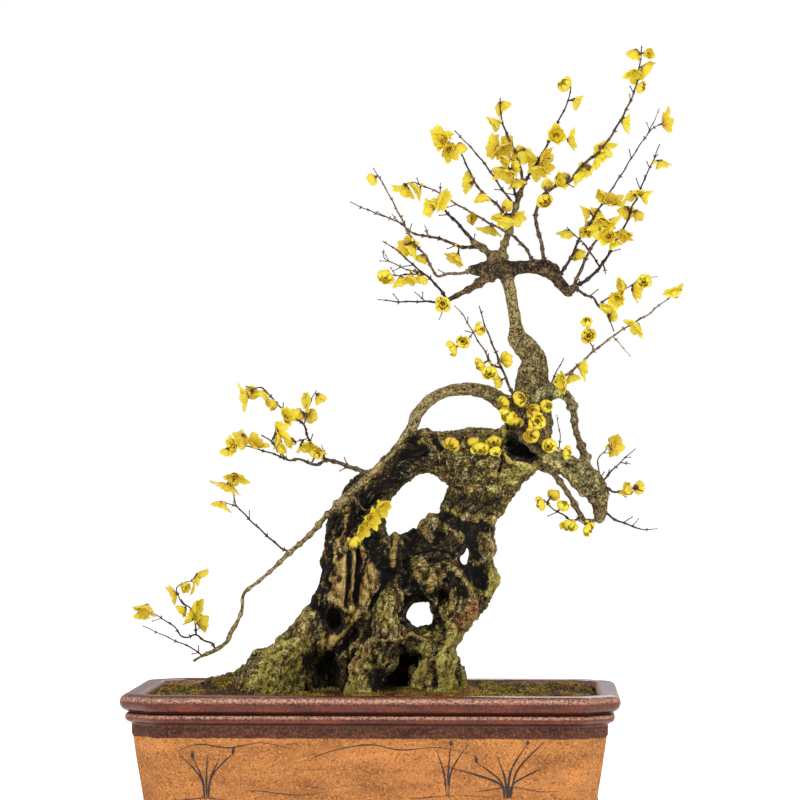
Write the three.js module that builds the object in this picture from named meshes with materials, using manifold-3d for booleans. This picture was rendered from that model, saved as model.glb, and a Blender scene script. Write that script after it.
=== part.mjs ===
// A wintersweet bonsai in a rectangular clay pot with cut corners, in millimetres, +Z up.
// The front of the pot faces -Y. Routes are laid out from the centre of the pot's underside.
import * as THREE from "three";
import { mergeVertices } from "three/addons/utils/BufferGeometryUtils.js";
import Module from "manifold-3d";

// Driving dimensions.
const POT_LENGTH = 610;
const POT_WIDTH = 360;
const POT_HEIGHT = 160;
const CORNER_CUT = 42;
const CORNER_SOFTNESS = 18;
const LEAST_SOFTNESS = 4;
const WALL_BOTTOM_INSET = 44;
const WALL_TOP_INSET = 27.5;
const FLOOR_TOP = 32;
const WALL_TOP = 150;
const LIP_BEVEL = 2;
const FOOT_HEIGHT = 14;
const FOOT_LENGTH = 100;
const FOOT_WIDTH = 80;
const DRAIN_RADIUS = 14;
const DRAIN_OFFSET = 130;
const MESH_SIDE = 46;
const MESH_THICKNESS = 1.2;
const SOIL_EDGE = 147;
const GAP = 0.3;
const BLOOM_RADIUS = 10;
const BLOOM_SPREAD = 3;
const SHORTEST_STALK = 3;
const PETALS = 6;

// How far a cutting shape runs past the faces that it cuts.
const PAST = 10;

const wasm = await Module();
wasm.setup();

// Closed solids and their geometry.
function solidOf(geometry) {
  const bare = geometry.clone();
  bare.deleteAttribute("normal");
  bare.deleteAttribute("uv");
  const merged = mergeVertices(bare, 1e-4);
  return new wasm.Manifold(
    new wasm.Mesh({
      numProp: 3,
      vertProperties: merged.attributes.position.array,
      triVerts: new Uint32Array(merged.index.array),
    }),
  );
}

function geometryOf(solid) {
  const mesh = solid.getMesh();
  const geometry = new THREE.BufferGeometry();
  geometry.setAttribute("position", new THREE.BufferAttribute(mesh.vertProperties, 3));
  geometry.setIndex(new THREE.BufferAttribute(mesh.triVerts, 1));
  return geometry;
}

function joined(solids) {
  return solids.reduce((whole, next) => whole.add(next));
}

// The largest body of a solid, so that a scrap left by a cut is dropped.
function largestBody(solid) {
  return solid.decompose().reduce((best, body) => (body.volume() > best.volume() ? body : best));
}

// A repeatable draw between 0 and 1.
function draw(k) {
  const s = Math.sin(k * 12.9898 + 78.233) * 43758.5453;
  return s - Math.floor(s);
}

// A geometry from points and the faces between them.
function skin(points, faces) {
  const geometry = new THREE.BufferGeometry().setFromPoints(points);
  geometry.setIndex(faces);
  return geometry;
}

// A closed skin through rings of equal length, with a flat face at each end.
function loft(rings) {
  const sides = rings[0].length;
  const faces = [];
  for (let r = 0; r + 1 < rings.length; r += 1) {
    for (let k = 0; k < sides; k += 1) {
      const a = r * sides + k;
      const b = r * sides + ((k + 1) % sides);
      faces.push(a, b, b + sides, a, b + sides, a + sides);
    }
  }
  const last = (rings.length - 1) * sides;
  for (let k = 1; k + 1 < sides; k += 1) {
    faces.push(0, k + 1, k);
    faces.push(last, last + k, last + k + 1);
  }
  return skin(rings.flat(), faces);
}

// The directions at one point of a route: along it, across it in the picture plane, and towards +Y.
function directionsAt(points, i) {
  const before = points[Math.max(i - 1, 0)];
  const after = points[Math.min(i + 1, points.length - 1)];
  const along = after.clone().sub(before).normalize();
  const guide = Math.abs(along.y) > 0.9 ? new THREE.Vector3(1, 0, 0) : new THREE.Vector3(0, 1, 0);
  const depth = guide.addScaledVector(along, -guide.dot(along)).normalize();
  const width = depth.clone().cross(along);
  return { along, width, depth };
}

// A tube along a route. sectionAt(i, angle) gives the half width and half depth of the wood.
function tube(points, sides, grow, sectionAt) {
  const last = points.length - 1;
  const rings = points.map((point, i) => {
    const { along, width, depth } = directionsAt(points, i);
    const endward = i === 0 ? -grow : i === last ? grow : 0;
    const ring = [];
    for (let k = 0; k < sides; k += 1) {
      const angle = (2 * Math.PI * (k + 0.5)) / sides;
      const [halfWidth, halfDepth] = sectionAt(i, angle);
      ring.push(
        point
          .clone()
          .addScaledVector(along, endward)
          .addScaledVector(width, Math.cos(angle) * (halfWidth + grow))
          .addScaledVector(depth, Math.sin(angle) * (halfDepth + grow)),
      );
    }
    return ring;
  });
  return solidOf(loft(rings));
}

// A trunk limb from stations of x, y, z, half width and half depth, with ridges that run along it.
const RIDGES = 0.09;
const FINE_RIDGES = 0.05;
const RIDGE_TWIST = 0.5;
const FINE_RIDGE_TWIST = -0.8;
function limb(stations, sides, phase, grow) {
  const points = stations.map(([x, y, z]) => new THREE.Vector3(x, y, z));
  return tube(points, sides, grow, (i, angle) => {
    const swell =
      1 +
      RIDGES * Math.sin(3 * angle + phase + RIDGE_TWIST * i) +
      FINE_RIDGES * Math.sin(5 * angle + 2 * phase + FINE_RIDGE_TWIST * i);
    const [, , , halfWidth, halfDepth] = stations[i];
    return [halfWidth * swell, halfDepth * swell];
  });
}

// A round twig whose radius runs evenly from one end of its route to the other.
function twig(route, [startRadius, endRadius], sides) {
  const points = route.map((p) => new THREE.Vector3(...p));
  return tube(points, sides, 0, (i) => {
    const radius = THREE.MathUtils.lerp(startRadius, endRadius, i / (points.length - 1));
    return [radius, radius];
  });
}

// The stout limbs of the hollow trunk: x, y, z, half width, half depth.
const LIMBS = {
  left_buttress: [
    [-149, -12, 110, 50, 48],
    [-141, -12, 151, 44, 46],
    [-112, -12, 192, 29, 40],
    [-86, -10, 230, 18, 35],
    [-62, -6, 267, 14, 32],
    [-47, -2, 301, 12, 26],
  ],
  left_column: [
    [-46, 18, 110, 44, 48],
    [-46, 18, 151, 41, 46],
    [-40, 10, 207, 41, 46],
    [-27, 0, 264, 44, 45],
    [-19, -4, 314, 43, 42],
    [-21, -4, 357, 33, 38],
    [-8, -4, 394, 24, 34],
    [11, -4, 417, 19, 32],
    [34, -3, 438, 20, 33],
    [64, -2, 454, 23, 34],
    [96, -2, 455, 20, 34],
  ],
  top_mass: [
    [66, 0, 457, 22, 34],
    [107, 0, 447, 31, 42],
    [145, -2, 442, 38, 47],
    [176, -4, 452, 33, 42],
    [194, -4, 470, 26, 34],
    [197, -3, 497, 25, 29],
  ],
  right_column: [
    [142, 0, 440, 40, 46],
    [132, 0, 407, 36, 44],
    [117, 2, 380, 30, 42],
    [110, 4, 351, 32, 42],
    [109, 6, 320, 34, 42],
    [113, 6, 292, 35, 42],
    [107, 4, 267, 29, 40],
    [94, 0, 239, 18, 38],
    [81, -4, 210, 19, 38],
    [74, -8, 180, 27, 42],
    [78, -8, 151, 35, 44],
    [78, -8, 110, 36, 46],
  ],
  upper_bridge: [
    [-8, -2, 296, 34, 36],
    [28, 0, 305, 41, 36],
    [60, 2, 309, 44, 36],
    [100, 4, 320, 42, 38],
  ],
  lower_bridge: [
    [-6, 6, 222, 26, 36],
    [29, 6, 218, 22, 34],
    [57, 4, 212, 19, 33],
    [88, 0, 214, 20, 34],
  ],
  front_root: [
    [28, -8, 322, 22, 26],
    [22, -16, 270, 20, 28],
    [16, -26, 226, 21, 30],
    [4, -38, 189, 20, 30],
    [-13, -46, 151, 19, 30],
    [-20, -48, 110, 20, 30],
  ],
  back_wall: [
    [18, 40, 110, 58, 26],
    [18, 38, 157, 56, 26],
    [20, 34, 195, 48, 24],
    [24, 28, 218, 38, 20],
  ],
  back_right_root: [
    [94, 22, 250, 14, 22],
    [84, 40, 200, 15, 26],
    [84, 62, 151, 21, 28],
    [88, 72, 110, 24, 30],
  ],
  back_left_root: [
    [-42, 22, 290, 24, 24],
    [-62, 40, 220, 26, 28],
    [-78, 62, 151, 28, 30],
    [-84, 74, 110, 30, 32],
  ],
};

// Round living branches that are one with the trunk: x, y, z and radius at each station.
const BRANCHES = {
  leader: [
    [194, -3, 489, 27],
    [195, -2, 520, 22],
    [198, 0, 547, 19],
    [196, 1, 569, 17.5],
    [184, 0, 586, 15.5],
    [177, 0, 603, 12.5],
    [177, 1, 622, 10],
    [174, 1, 645, 8.5],
    [171, 0, 665, 8],
    [162, 0, 680, 10],
  ],
  crown_left_stub: [
    [172, 0, 681, 9],
    [154, -2, 684, 12],
    [138, -4, 682, 9],
    [121, -6, 681, 6],
  ],
  crown_right_limb: [
    [160, 0, 680, 10.5],
    [182, 2, 685, 8],
    [199, 1, 685, 8.5],
    [216, -1, 684, 10.5],
    [227, -2, 674, 8.5],
    [235, -3, 661, 6.5],
    [242, -4, 654, 6.5],
    [252, -6, 661, 5],
  ],
  crown_up_limb: [
    [156, 2, 688, 7.5],
    [163, 8, 714, 5.6],
    [171, 16, 739, 4.9],
    [178, 24, 766, 4.3],
    [187, 32, 794, 3.6],
  ],
  crown_low_left_limb: [
    [152, -2, 680, 8],
    [127, -12, 662, 5.2],
    [106, -22, 650, 4.2],
    [91, -30, 642, 3.6],
  ],
  crown_high_left_limb: [
    [158, -2, 688, 7.5],
    [136, -14, 709, 5.2],
    [124, -22, 716, 4.2],
  ],
  arch: [
    [186, -6, 500, 14],
    [163, -8, 514, 11],
    [147, -9, 525, 9.5],
    [127, -10, 531, 8.3],
    [104, -11, 531, 7.2],
    [83, -12, 526, 7],
    [67, -12, 516, 7],
    [54, -13, 501, 7],
    [48, -15, 485, 6.6],
    [38, -21, 470, 7],
    [21, -26, 447, 7.2],
    [1, -28, 427, 7.2],
    [-19, -29, 409, 7],
    [-34, -28, 397, 6.2],
    [-48, -27, 384, 5],
    [-62, -26, 370, 4.3],
    [-77, -27, 353, 4],
    [-92, -30, 339, 3.6],
    [-104, -33, 329, 3.9],
    [-122, -37, 311, 2.7],
    [-141, -42, 294, 2.5],
    [-160, -46, 278, 2.5],
    [-162, -49, 258, 2.5],
    [-169, -52, 241, 3],
    [-175, -55, 231, 3.7],
    [-180, -58, 219, 2.8],
    [-194, -61, 209, 3.3],
    [-210, -64, 202, 2.1],
    [-220, -66, 196, 1.5],
  ],
  right_arm: [
    [196, -6, 457, 20],
    [217, -8, 446, 17],
    [235, -8, 440, 15],
    [253, -6, 433, 15],
    [269, -4, 420, 16],
    [280, -3, 402, 14],
    [283, -2, 385, 11],
    [281, -2, 369, 8],
  ],
  right_arch: [
    [205, 0, 528, 14],
    [229, 10, 530, 10],
    [243, 14, 522, 8],
    [249, 16, 505, 7.5],
    [251, 14, 485, 7],
    [257, 10, 466, 7],
    [263, 4, 449, 8],
    [268, -2, 432, 9],
  ],
  front_stick: [
    [184, -34, 480, 7],
    [190, -42, 468, 5.6],
    [203, -45, 455, 5],
    [222, -42, 442, 5],
    [244, -34, 422, 4.6],
    [264, -24, 403, 4.6],
    [276, -12, 389, 4],
  ],
  low_stick: [
    [207, -44, 452, 4.6],
    [217, -42, 436, 4.3],
    [234, -38, 414, 4],
    [246, -34, 396, 4],
    [256, -28, 378, 4],
    [264, -20, 368, 3.4],
    [279, -8, 369, 3],
  ],
};
const BRANCH_SIDES = { leader: 10, right_arm: 8, right_arch: 6, arch: 6 };
const THIN_BRANCH_SIDES = 5;
const LIMB_SIDES = 10;

// The dark hollow at the head of the trunk, the cave between the roots, the rotted slot above it
// and a small hole right through the wood: centre and half sizes.
const HOLLOWS = [
  { centre: [184, -42, 457], radii: [17, 26, 12] },
  { centre: [-64, -44, 174], radii: [22, 46, 38] },
  { centre: [-48, -48, 246], radii: [11, 34, 16] },
  { centre: [112, 0, 317], radii: [5.5, 80, 7] },
];

function trunk(grow = 0) {
  const limbs = Object.values(LIMBS).map((stations, i) => limb(stations, LIMB_SIDES, i, grow));
  const branches = Object.entries(BRANCHES).map(([name, stations], i) =>
    limb(
      stations.map(([x, y, z, radius]) => [x, y, z, radius, radius]),
      BRANCH_SIDES[name] ?? THIN_BRANCH_SIDES,
      i,
      grow,
    ),
  );
  const hollows = HOLLOWS.map(({ centre, radii }) => {
    const shape = new THREE.SphereGeometry(1, 8, 6);
    shape.scale(radii[0] - grow, radii[1] - grow, radii[2] - grow).translate(...centre);
    return solidOf(shape);
  });
  return largestBody(joined([...limbs, ...branches]).subtract(joined(hollows)));
}

// Flowering twigs. Each route runs outwards from the wood that carries it, and its radii are those at
// its two ends. Each bloom is the centre of its mouth, and it grows from the nearest point of a twig.
const SPRAYS = {
  crown_tall: {
    twigs: [
      {
        route: [
          [214, -2, 686], [208, -8, 719], [202, -14, 744], [208, -22, 769], [226, -28, 784],
          [246, -32, 792], [258, -36, 808], [277, -40, 823], [292, -44, 840], [307, -50, 864],
          [315, -54, 879], [325, -58, 902], [330, -62, 928], [333, -66, 952],
        ],
        radii: [3.6, 1.1],
      },
    ],
    blooms: [
      [214, -31, 765], [216, -22, 783], [230, -38, 792], [240, -22, 798], [256, -42, 794],
      [268, -28, 803], [282, -50, 812], [284, -34, 830], [317, -58, 858], [335, -64, 902],
      [323, -68, 920], [341, -60, 926], [343, -74, 943], [324, -62, 945],
    ],
  },
  crown_straight: {
    twigs: [
      {
        route: [[180, 26, 762], [164, 17, 778], [142, 7, 810], [122, -2, 834], [102, -10, 854]],
        radii: [2.4, 0.9],
      },
    ],
    blooms: [],
  },
  crown_top: {
    twigs: [
      {
        route: [
          [187, 32, 790], [182, 38, 814], [176, 42, 833], [167, 46, 852], [160, 50, 871],
          [157, 52, 886], [157, 54, 901],
        ],
        radii: [3, 1],
      },
      { route: [[175, 42, 838], [164, 40, 838], [155, 38, 840]], radii: [1.6, 1] },
      {
        route: [
          [187, 32, 792], [199, 36, 812], [212, 34, 833], [222, 30, 853], [233, 26, 875],
          [243, 22, 896], [246, 20, 914],
        ],
        radii: [2.6, 0.9],
      },
      { route: [[221, 30, 851], [233, 26, 848], [243, 23, 848]], radii: [1.4, 0.9] },
    ],
    blooms: [
      [159, 64, 894], [147, 45, 869], [166, 56, 846], [146, 52, 838], [160, 30, 834], [190, 50, 834],
      [238, 14, 916], [257, 16, 893], [216, 23, 822], [205, 46, 812], [207, 12, 808],
      [228, 20, 852], [249, 18, 845],
    ],
  },
  crown_cluster: {
    twigs: [
      { route: [[179, 22, 770], [174, 10, 786], [171, 4, 800], [166, 0, 816]], radii: [2.6, 1.4] },
    ],
    blooms: [[164, -16, 820], [180, 4, 812], [166, -8, 800], [181, 0, 790], [156, 14, 806]],
  },
  crown_low_cluster: {
    twigs: [
      { route: [[174, 18, 752], [170, 8, 752], [166, -4, 751], [160, -10, 752]], radii: [2.4, 1.4] },
    ],
    blooms: [[166, -14, 763], [179, 0, 745], [153, -16, 745], [167, -28, 739]],
  },
  crown_upper_left: {
    twigs: [
      {
        route: [
          [171, 14, 736], [157, 8, 760], [146, 3, 770], [133, -3, 781], [122, -8, 799],
          [110, -14, 824], [98, -18, 836], [87, -20, 844],
        ],
        radii: [2.8, 1],
      },
    ],
    blooms: [
      [78, -22, 850], [84, -38, 839], [96, -20, 832], [111, -34, 834], [116, 2, 791], [134, -14, 769],
    ],
  },
  crown_left_fork: {
    twigs: [
      { route: [[126, -20, 714], [108, -34, 735], [91, -42, 752], [86, -44, 759]], radii: [3.2, 1.5] },
    ],
    blooms: [[76, -50, 766], [68, -34, 757], [87, -64, 770]],
  },
  crown_back_left: {
    twigs: [
      {
        route: [
          [200, 4, 690], [189, 16, 710], [173, 28, 726], [157, 36, 736], [142, 42, 744],
          [119, 51, 758], [99, 59, 770], [80, 65, 783], [65, 69, 790], [47, 72, 797], [35, 74, 795],
        ],
        radii: [2.8, 0.9],
      },
      { route: [[80, 65, 782], [81, 64, 794]], radii: [1.2, 0.6] },
    ],
    blooms: [[36, 78, 782], [50, 60, 784], [117, 44, 747], [142, 36, 730]],
  },
  left_far: {
    twigs: [
      {
        route: [
          [132, -14, 709], [119, -9, 710], [106, -4, 711], [89, 4, 719], [67, 12, 725], [53, 16, 727],
          [41, 22, 734], [29, 27, 744], [12, 33, 751], [-10, 41, 760], [-32, 47, 770],
        ],
        radii: [3.2, 0.7],
      },
      { route: [[67, 12, 725], [63, 8, 737]], radii: [1.8, 0.6] },
      { route: [[29, 27, 744], [22, 22, 752]], radii: [1.1, 0.6] },
    ],
    blooms: [[101, -11, 692]],
  },
  left_high: {
    twigs: [
      {
        route: [
          [124, -6, 681], [107, -12, 677], [91, -18, 676], [78, -22, 674], [67, -28, 695],
          [57, -32, 707], [50, -36, 717], [42, -40, 730], [35, -44, 745], [28, -46, 758],
          [20, -48, 774], [9, -52, 793], [2, -54, 804],
        ],
        radii: [2.8, 0.9],
      },
    ],
    blooms: [[-4, -50, 790], [38, -32, 708], [47, -48, 701], [57, -22, 694]],
  },
  left_low: {
    twigs: [
      {
        route: [
          [92, -30, 643], [83, -38, 656], [75, -43, 665], [66, -47, 673], [53, -53, 683],
          [39, -59, 696], [27, -65, 706], [15, -69, 713],
        ],
        radii: [2.6, 0.8],
      },
      {
        route: [[66, -47, 673], [48, -51, 678], [33, -57, 684], [16, -61, 693], [14, -62, 702]],
        radii: [1.4, 0.7],
      },
      { route: [[62, -48, 675], [43, -45, 674], [28, -46, 673], [16, -47, 678]], radii: [1.4, 0.8] },
      {
        route: [[92, -30, 643], [78, -33, 640], [65, -33, 641], [30, -29, 641], [7, -26, 644]],
        radii: [2.6, 0.7],
      },
      { route: [[88, -31, 642], [86, -33, 630], [83, -35, 620]], radii: [1.3, 0.6] },
      { route: [[65, -33, 641], [53, -37, 652]], radii: [1.2, 0.7] },
    ],
    blooms: [[36, -48, 663], [48, -66, 665], [60, -50, 666], [16, -53, 669], [87, -41, 638]],
  },
  right_back: {
    twigs: [
      {
        route: [
          [230, 0, 671], [238, 8, 685], [245, 14, 695], [253, 22, 713], [258, 26, 724], [270, 34, 742],
          [279, 40, 757], [288, 46, 771], [297, 50, 785], [312, 56, 808], [328, 60, 834], [346, 64, 860],
          [359, 66, 870],
        ],
        radii: [3, 0.8],
      },
      { route: [[343, 63, 856], [352, 66, 874], [358, 68, 888]], radii: [1, 0.5] },
    ],
    blooms: [
      [372, 67, 872], [262, 38, 758], [286, 38, 778], [298, 24, 770], [264, 20, 730], [257, 26, 703],
      [278, 52, 756], [272, 44, 738],
    ],
  },
  right_outer: {
    twigs: [
      {
        route: [
          [250, -5, 661], [266, -4, 669], [278, -6, 680], [285, -8, 689], [291, -10, 697], [297, -12, 709],
          [307, -14, 725], [316, -15, 741], [322, -16, 759], [329, -16, 772], [338, -14, 795],
          [348, -11, 816], [356, -8, 836],
        ],
        radii: [3.2, 0.9],
      },
      { route: [[282, -7, 685], [269, 2, 705], [258, 6, 719], [242, 9, 734]], radii: [1.7, 0.9] },
      { route: [[286, -8, 689], [289, -3, 678]], radii: [1.6, 0.8] },
      {
        route: [
          [250, -5, 662], [255, -9, 674], [261, -14, 687], [269, -22, 705], [277, -28, 716],
          [284, -34, 728], [291, -38, 737],
        ],
        radii: [3.4, 1.5],
      },
      { route: [[279, -30, 719], [290, -33, 719], [299, -35, 720]], radii: [1.8, 1.1] },
    ],
    blooms: [
      [320, -27, 775], [341, -25, 770], [333, -22, 748], [312, -6, 757], [363, -10, 811], [237, 4, 725],
      [302, -42, 739], [291, -43, 722], [301, -34, 708], [281, -50, 738], [311, -28, 724],
    ],
  },
  right_low: {
    twigs: [
      {
        route: [
          [249, -6, 658], [256, -12, 655], [265, -18, 649], [274, -24, 645], [281, -28, 634],
          [290, -32, 627], [294, -34, 617], [298, -36, 605],
        ],
        radii: [2.8, 1],
      },
      {
        route: [
          [280, -28, 636], [292, -33, 645], [302, -37, 651], [313, -41, 656], [334, -49, 668],
          [350, -52, 670],
        ],
        radii: [1.8, 0.6],
      },
    ],
    blooms: [
      [291, -42, 635], [301, -58, 641], [310, -45, 658], [298, -26, 624], [336, -57, 664], [328, -42, 652],
    ],
  },
  right_far: {
    twigs: [
      {
        route: [
          [206, -8, 536], [223, -14, 539], [235, -18, 547], [246, -22, 554], [259, -28, 565],
          [275, -36, 580], [290, -44, 591], [297, -48, 597], [316, -54, 609], [340, -62, 623],
          [356, -68, 636], [370, -72, 646],
        ],
        radii: [2.8, 0.8],
      },
      { route: [[297, -48, 597], [307, -50, 586], [318, -52, 573]], radii: [1, 0.5] },
      { route: [[275, -36, 580], [268, -38, 594], [265, -40, 613]], radii: [1.2, 0.8] },
      { route: [[221, -13, 539], [229, -19, 556], [236, -23, 569]], radii: [1.5, 0.8] },
    ],
    blooms: [
      [375, -78, 650], [325, -62, 608], [264, -48, 617], [268, -48, 598], [262, -34, 556], [247, -18, 548],
      [236, -32, 537],
    ],
  },
  arm_upper: {
    twigs: [
      {
        route: [[275, -6, 412], [287, -12, 420], [297, -16, 431], [307, -20, 441], [324, -26, 457]],
        radii: [2.4, 0.7],
      },
      { route: [[284, -11, 418], [279, -6, 442], [288, -4, 455], [296, -2, 464]], radii: [1.5, 0.8] },
      { route: [[307, -20, 441], [318, -17, 439]], radii: [1.2, 0.6] },
    ],
    blooms: [[299, -8, 469], [302, 8, 458]],
  },
  arm_outer: {
    twigs: [
      {
        route: [[276, -5, 404], [289, -10, 409], [300, -14, 404], [322, -20, 409], [333, -22, 406]],
        radii: [2.8, 1],
      },
    ],
    blooms: [[317, -25, 406], [329, -9, 410]],
  },
  arm_lower: {
    twigs: [
      {
        route: [
          [281, -2, 376], [290, -6, 377], [300, -10, 370], [324, -18, 361], [337, -20, 357],
          [351, -22, 359],
        ],
        radii: [2.8, 0.6],
      },
      { route: [[322, -17, 362], [329, -20, 370]], radii: [1.1, 0.6] },
    ],
    blooms: [],
  },
  arm_under: {
    twigs: [
      {
        route: [[260, -26, 373], [246, -32, 369], [236, -34, 376], [221, -38, 385], [213, -40, 394]],
        radii: [2.2, 0.9],
      },
      { route: [[255, -30, 370], [264, -32, 363]], radii: [1.5, 1] },
    ],
    blooms: [[237, -42, 390], [243, -38, 359], [270, -36, 357], [205, -43, 389], [226, -29, 403]],
  },
  front_tall: {
    twigs: [
      {
        route: [
          [187, -39, 474], [186, -46, 496], [181, -48, 510], [174, -50, 524], [167, -50, 541],
          [159, -50, 560], [152, -50, 579], [145, -50, 596], [137, -48, 617], [133, -46, 633],
        ],
        radii: [3.6, 0.9],
      },
      {
        route: [
          [160, -50, 558], [148, -54, 562], [140, -56, 577], [128, -56, 596], [113, -54, 622],
          [103, -52, 634],
        ],
        radii: [1.9, 0.7],
      },
      { route: [[125, -56, 602], [117, -58, 591], [105, -60, 584]], radii: [1, 0.7] },
      { route: [[183, -48, 504], [173, -54, 501]], radii: [1.6, 1.2] },
    ],
    blooms: [
      [136, -64, 606], [130, -61, 559], [145, -70, 549], [152, -46, 540], [169, -45, 570],
      [95, -61, 580], [112, -64, 589], [160, -59, 514], [163, -68, 496], [175, -54, 487], [185, -57, 521],
    ],
  },
  front_knob: {
    twigs: [
      {
        route: [[203, -44, 457], [202, -52, 470], [204, -54, 485], [208, -52, 500], [213, -48, 512]],
        radii: [2.6, 1.3],
      },
      { route: [[203, -53, 476], [213, -46, 472], [223, -42, 464], [234, -38, 455]], radii: [1.7, 1.1] },
      { route: [[231, -39, 457], [232, -32, 476], [228, -27, 498]], radii: [1.1, 0.6] },
    ],
    blooms: [
      [197, -62, 507], [216, -57, 510], [204, -72, 492], [196, -62, 475], [218, -58, 460],
      [244, -42, 453],
    ],
  },
  trunk_top: {
    twigs: [
      {
        route: [[163, -36, 472], [148, -50, 474], [129, -53, 475], [111, -50, 475], [101, -50, 470]],
        radii: [2.2, 1.1],
      },
    ],
    blooms: [[97, -59, 461], [134, -66, 454], [150, -54, 466], [153, -70, 452], [127, -50, 466]],
  },
  left_spray: {
    twigs: [
      {
        route: [
          [-2, -26, 425], [-20, -24, 432], [-34, -25, 437], [-46, -26, 441], [-58, -30, 444],
          [-69, -34, 438], [-81, -38, 441], [-93, -42, 445], [-105, -46, 444], [-114, -48, 452],
          [-125, -50, 466], [-136, -50, 474],
        ],
        radii: [4.2, 1.1],
      },
      {
        route: [[-105, -46, 444], [-119, -50, 450], [-137, -54, 456], [-154, -58, 461], [-174, -61, 469]],
        radii: [1.7, 0.8],
      },
      { route: [[-166, -60, 466], [-177, -60, 458]], radii: [1.2, 0.9] },
      {
        route: [
          [-61, -31, 444], [-70, -26, 455], [-81, -22, 470], [-87, -20, 487], [-98, -20, 496],
          [-111, -20, 505], [-127, -22, 521], [-139, -24, 534], [-151, -26, 531], [-160, -28, 525],
        ],
        radii: [2.2, 0.9],
      },
      { route: [[-87, -20, 488], [-84, -14, 504], [-81, -10, 516], [-73, -6, 529]], radii: [1.5, 0.8] },
      { route: [[-60, -30, 444], [-64, -28, 461]], radii: [1.6, 0.6] },
      { route: [[-82, -22, 471], [-98, -30, 466]], radii: [1.2, 0.7] },
    ],
    blooms: [
      [-162, -35, 520], [-153, -19, 528], [-139, -33, 524], [-125, -40, 512], [-109, -32, 497],
      [-113, -46, 484], [-108, -28, 469], [-117, -52, 468], [-112, -66, 457], [-144, -62, 464],
      [-160, -55, 476], [-172, -69, 461], [-183, -56, 452], [-94, -11, 501], [-76, -7, 498],
      [-84, -19, 519], [-68, -3, 522], [-78, -33, 460], [-89, -14, 458], [-68, -52, 454],
    ],
  },
  trunk_front: {
    twigs: [
      {
        route: [[-27, -28, 403], [-25, -38, 399], [-17, -46, 390], [-6, -52, 381], [13, -50, 396]],
        radii: [2.6, 0.9],
      },
      {
        route: [[-6, -52, 381], [-14, -56, 368], [-24, -58, 355], [-35, -57, 342], [-45, -54, 333]],
        radii: [1.6, 0.8],
      },
    ],
    blooms: [[14, -60, 384], [3, -68, 371], [-9, -66, 356], [-18, -60, 340]],
  },
  left_hanging: {
    twigs: [
      {
        route: [
          [-104, -33, 330], [-115, -34, 335], [-132, -38, 350], [-149, -43, 366], [-166, -48, 384],
          [-171, -50, 392], [-173, -52, 406], [-174, -52, 417],
        ],
        radii: [1.9, 0.9],
      },
      { route: [[-167, -48, 385], [-175, -50, 389], [-184, -52, 391]], radii: [1.2, 0.8] },
    ],
    blooms: [[-168, -61, 424], [-182, -56, 410], [-193, -56, 387]],
  },
  left_tip: {
    twigs: [
      {
        route: [
          [-194, -61, 210], [-198, -64, 217], [-207, -66, 221], [-217, -68, 228], [-228, -70, 225],
          [-236, -72, 228], [-241, -73, 235], [-248, -74, 242], [-258, -76, 248], [-269, -78, 255],
          [-279, -80, 260],
        ],
        radii: [1.9, 0.8],
      },
      {
        route: [
          [-217, -68, 228], [-219, -70, 246], [-223, -72, 260], [-233, -74, 267], [-238, -75, 276],
          [-241, -76, 286], [-232, -75, 292], [-219, -73, 296],
        ],
        radii: [1.6, 0.8],
      },
    ],
    blooms: [
      [-286, -80, 252], [-276, -96, 262], [-212, -68, 243], [-224, -90, 249], [-231, -74, 262],
      [-213, -80, 260], [-229, -84, 287], [-247, -82, 277], [-208, -74, 302],
    ],
  },
  left_trailing: {
    twigs: [
      {
        route: [[-211, -64, 203], [-222, -62, 211], [-243, -60, 220], [-265, -60, 230], [-283, -62, 238]],
        radii: [1.5, 0.6],
      },
    ],
    blooms: [],
  },
};
const TWIG_SIDES = 3;

// The point of the twigs nearest to a target, kept clear of each route's far end so that it is in the wood.
const END_MARGIN = 2;
function nearestOnTwigs(twigs, target) {
  let best = null;
  for (const { route } of twigs) {
    for (let i = 0; i + 1 < route.length; i += 1) {
      const piece = new THREE.Line3(new THREE.Vector3(...route[i]), new THREE.Vector3(...route[i + 1]));
      const furthest = 1 - END_MARGIN / piece.distance();
      const share = Math.min(piece.closestPointToPointParameter(target, true), furthest);
      const point = piece.at(share, new THREE.Vector3());
      if (!best || point.distanceTo(target) < best.distanceTo(target)) best = point;
    }
  }
  return best;
}

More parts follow.
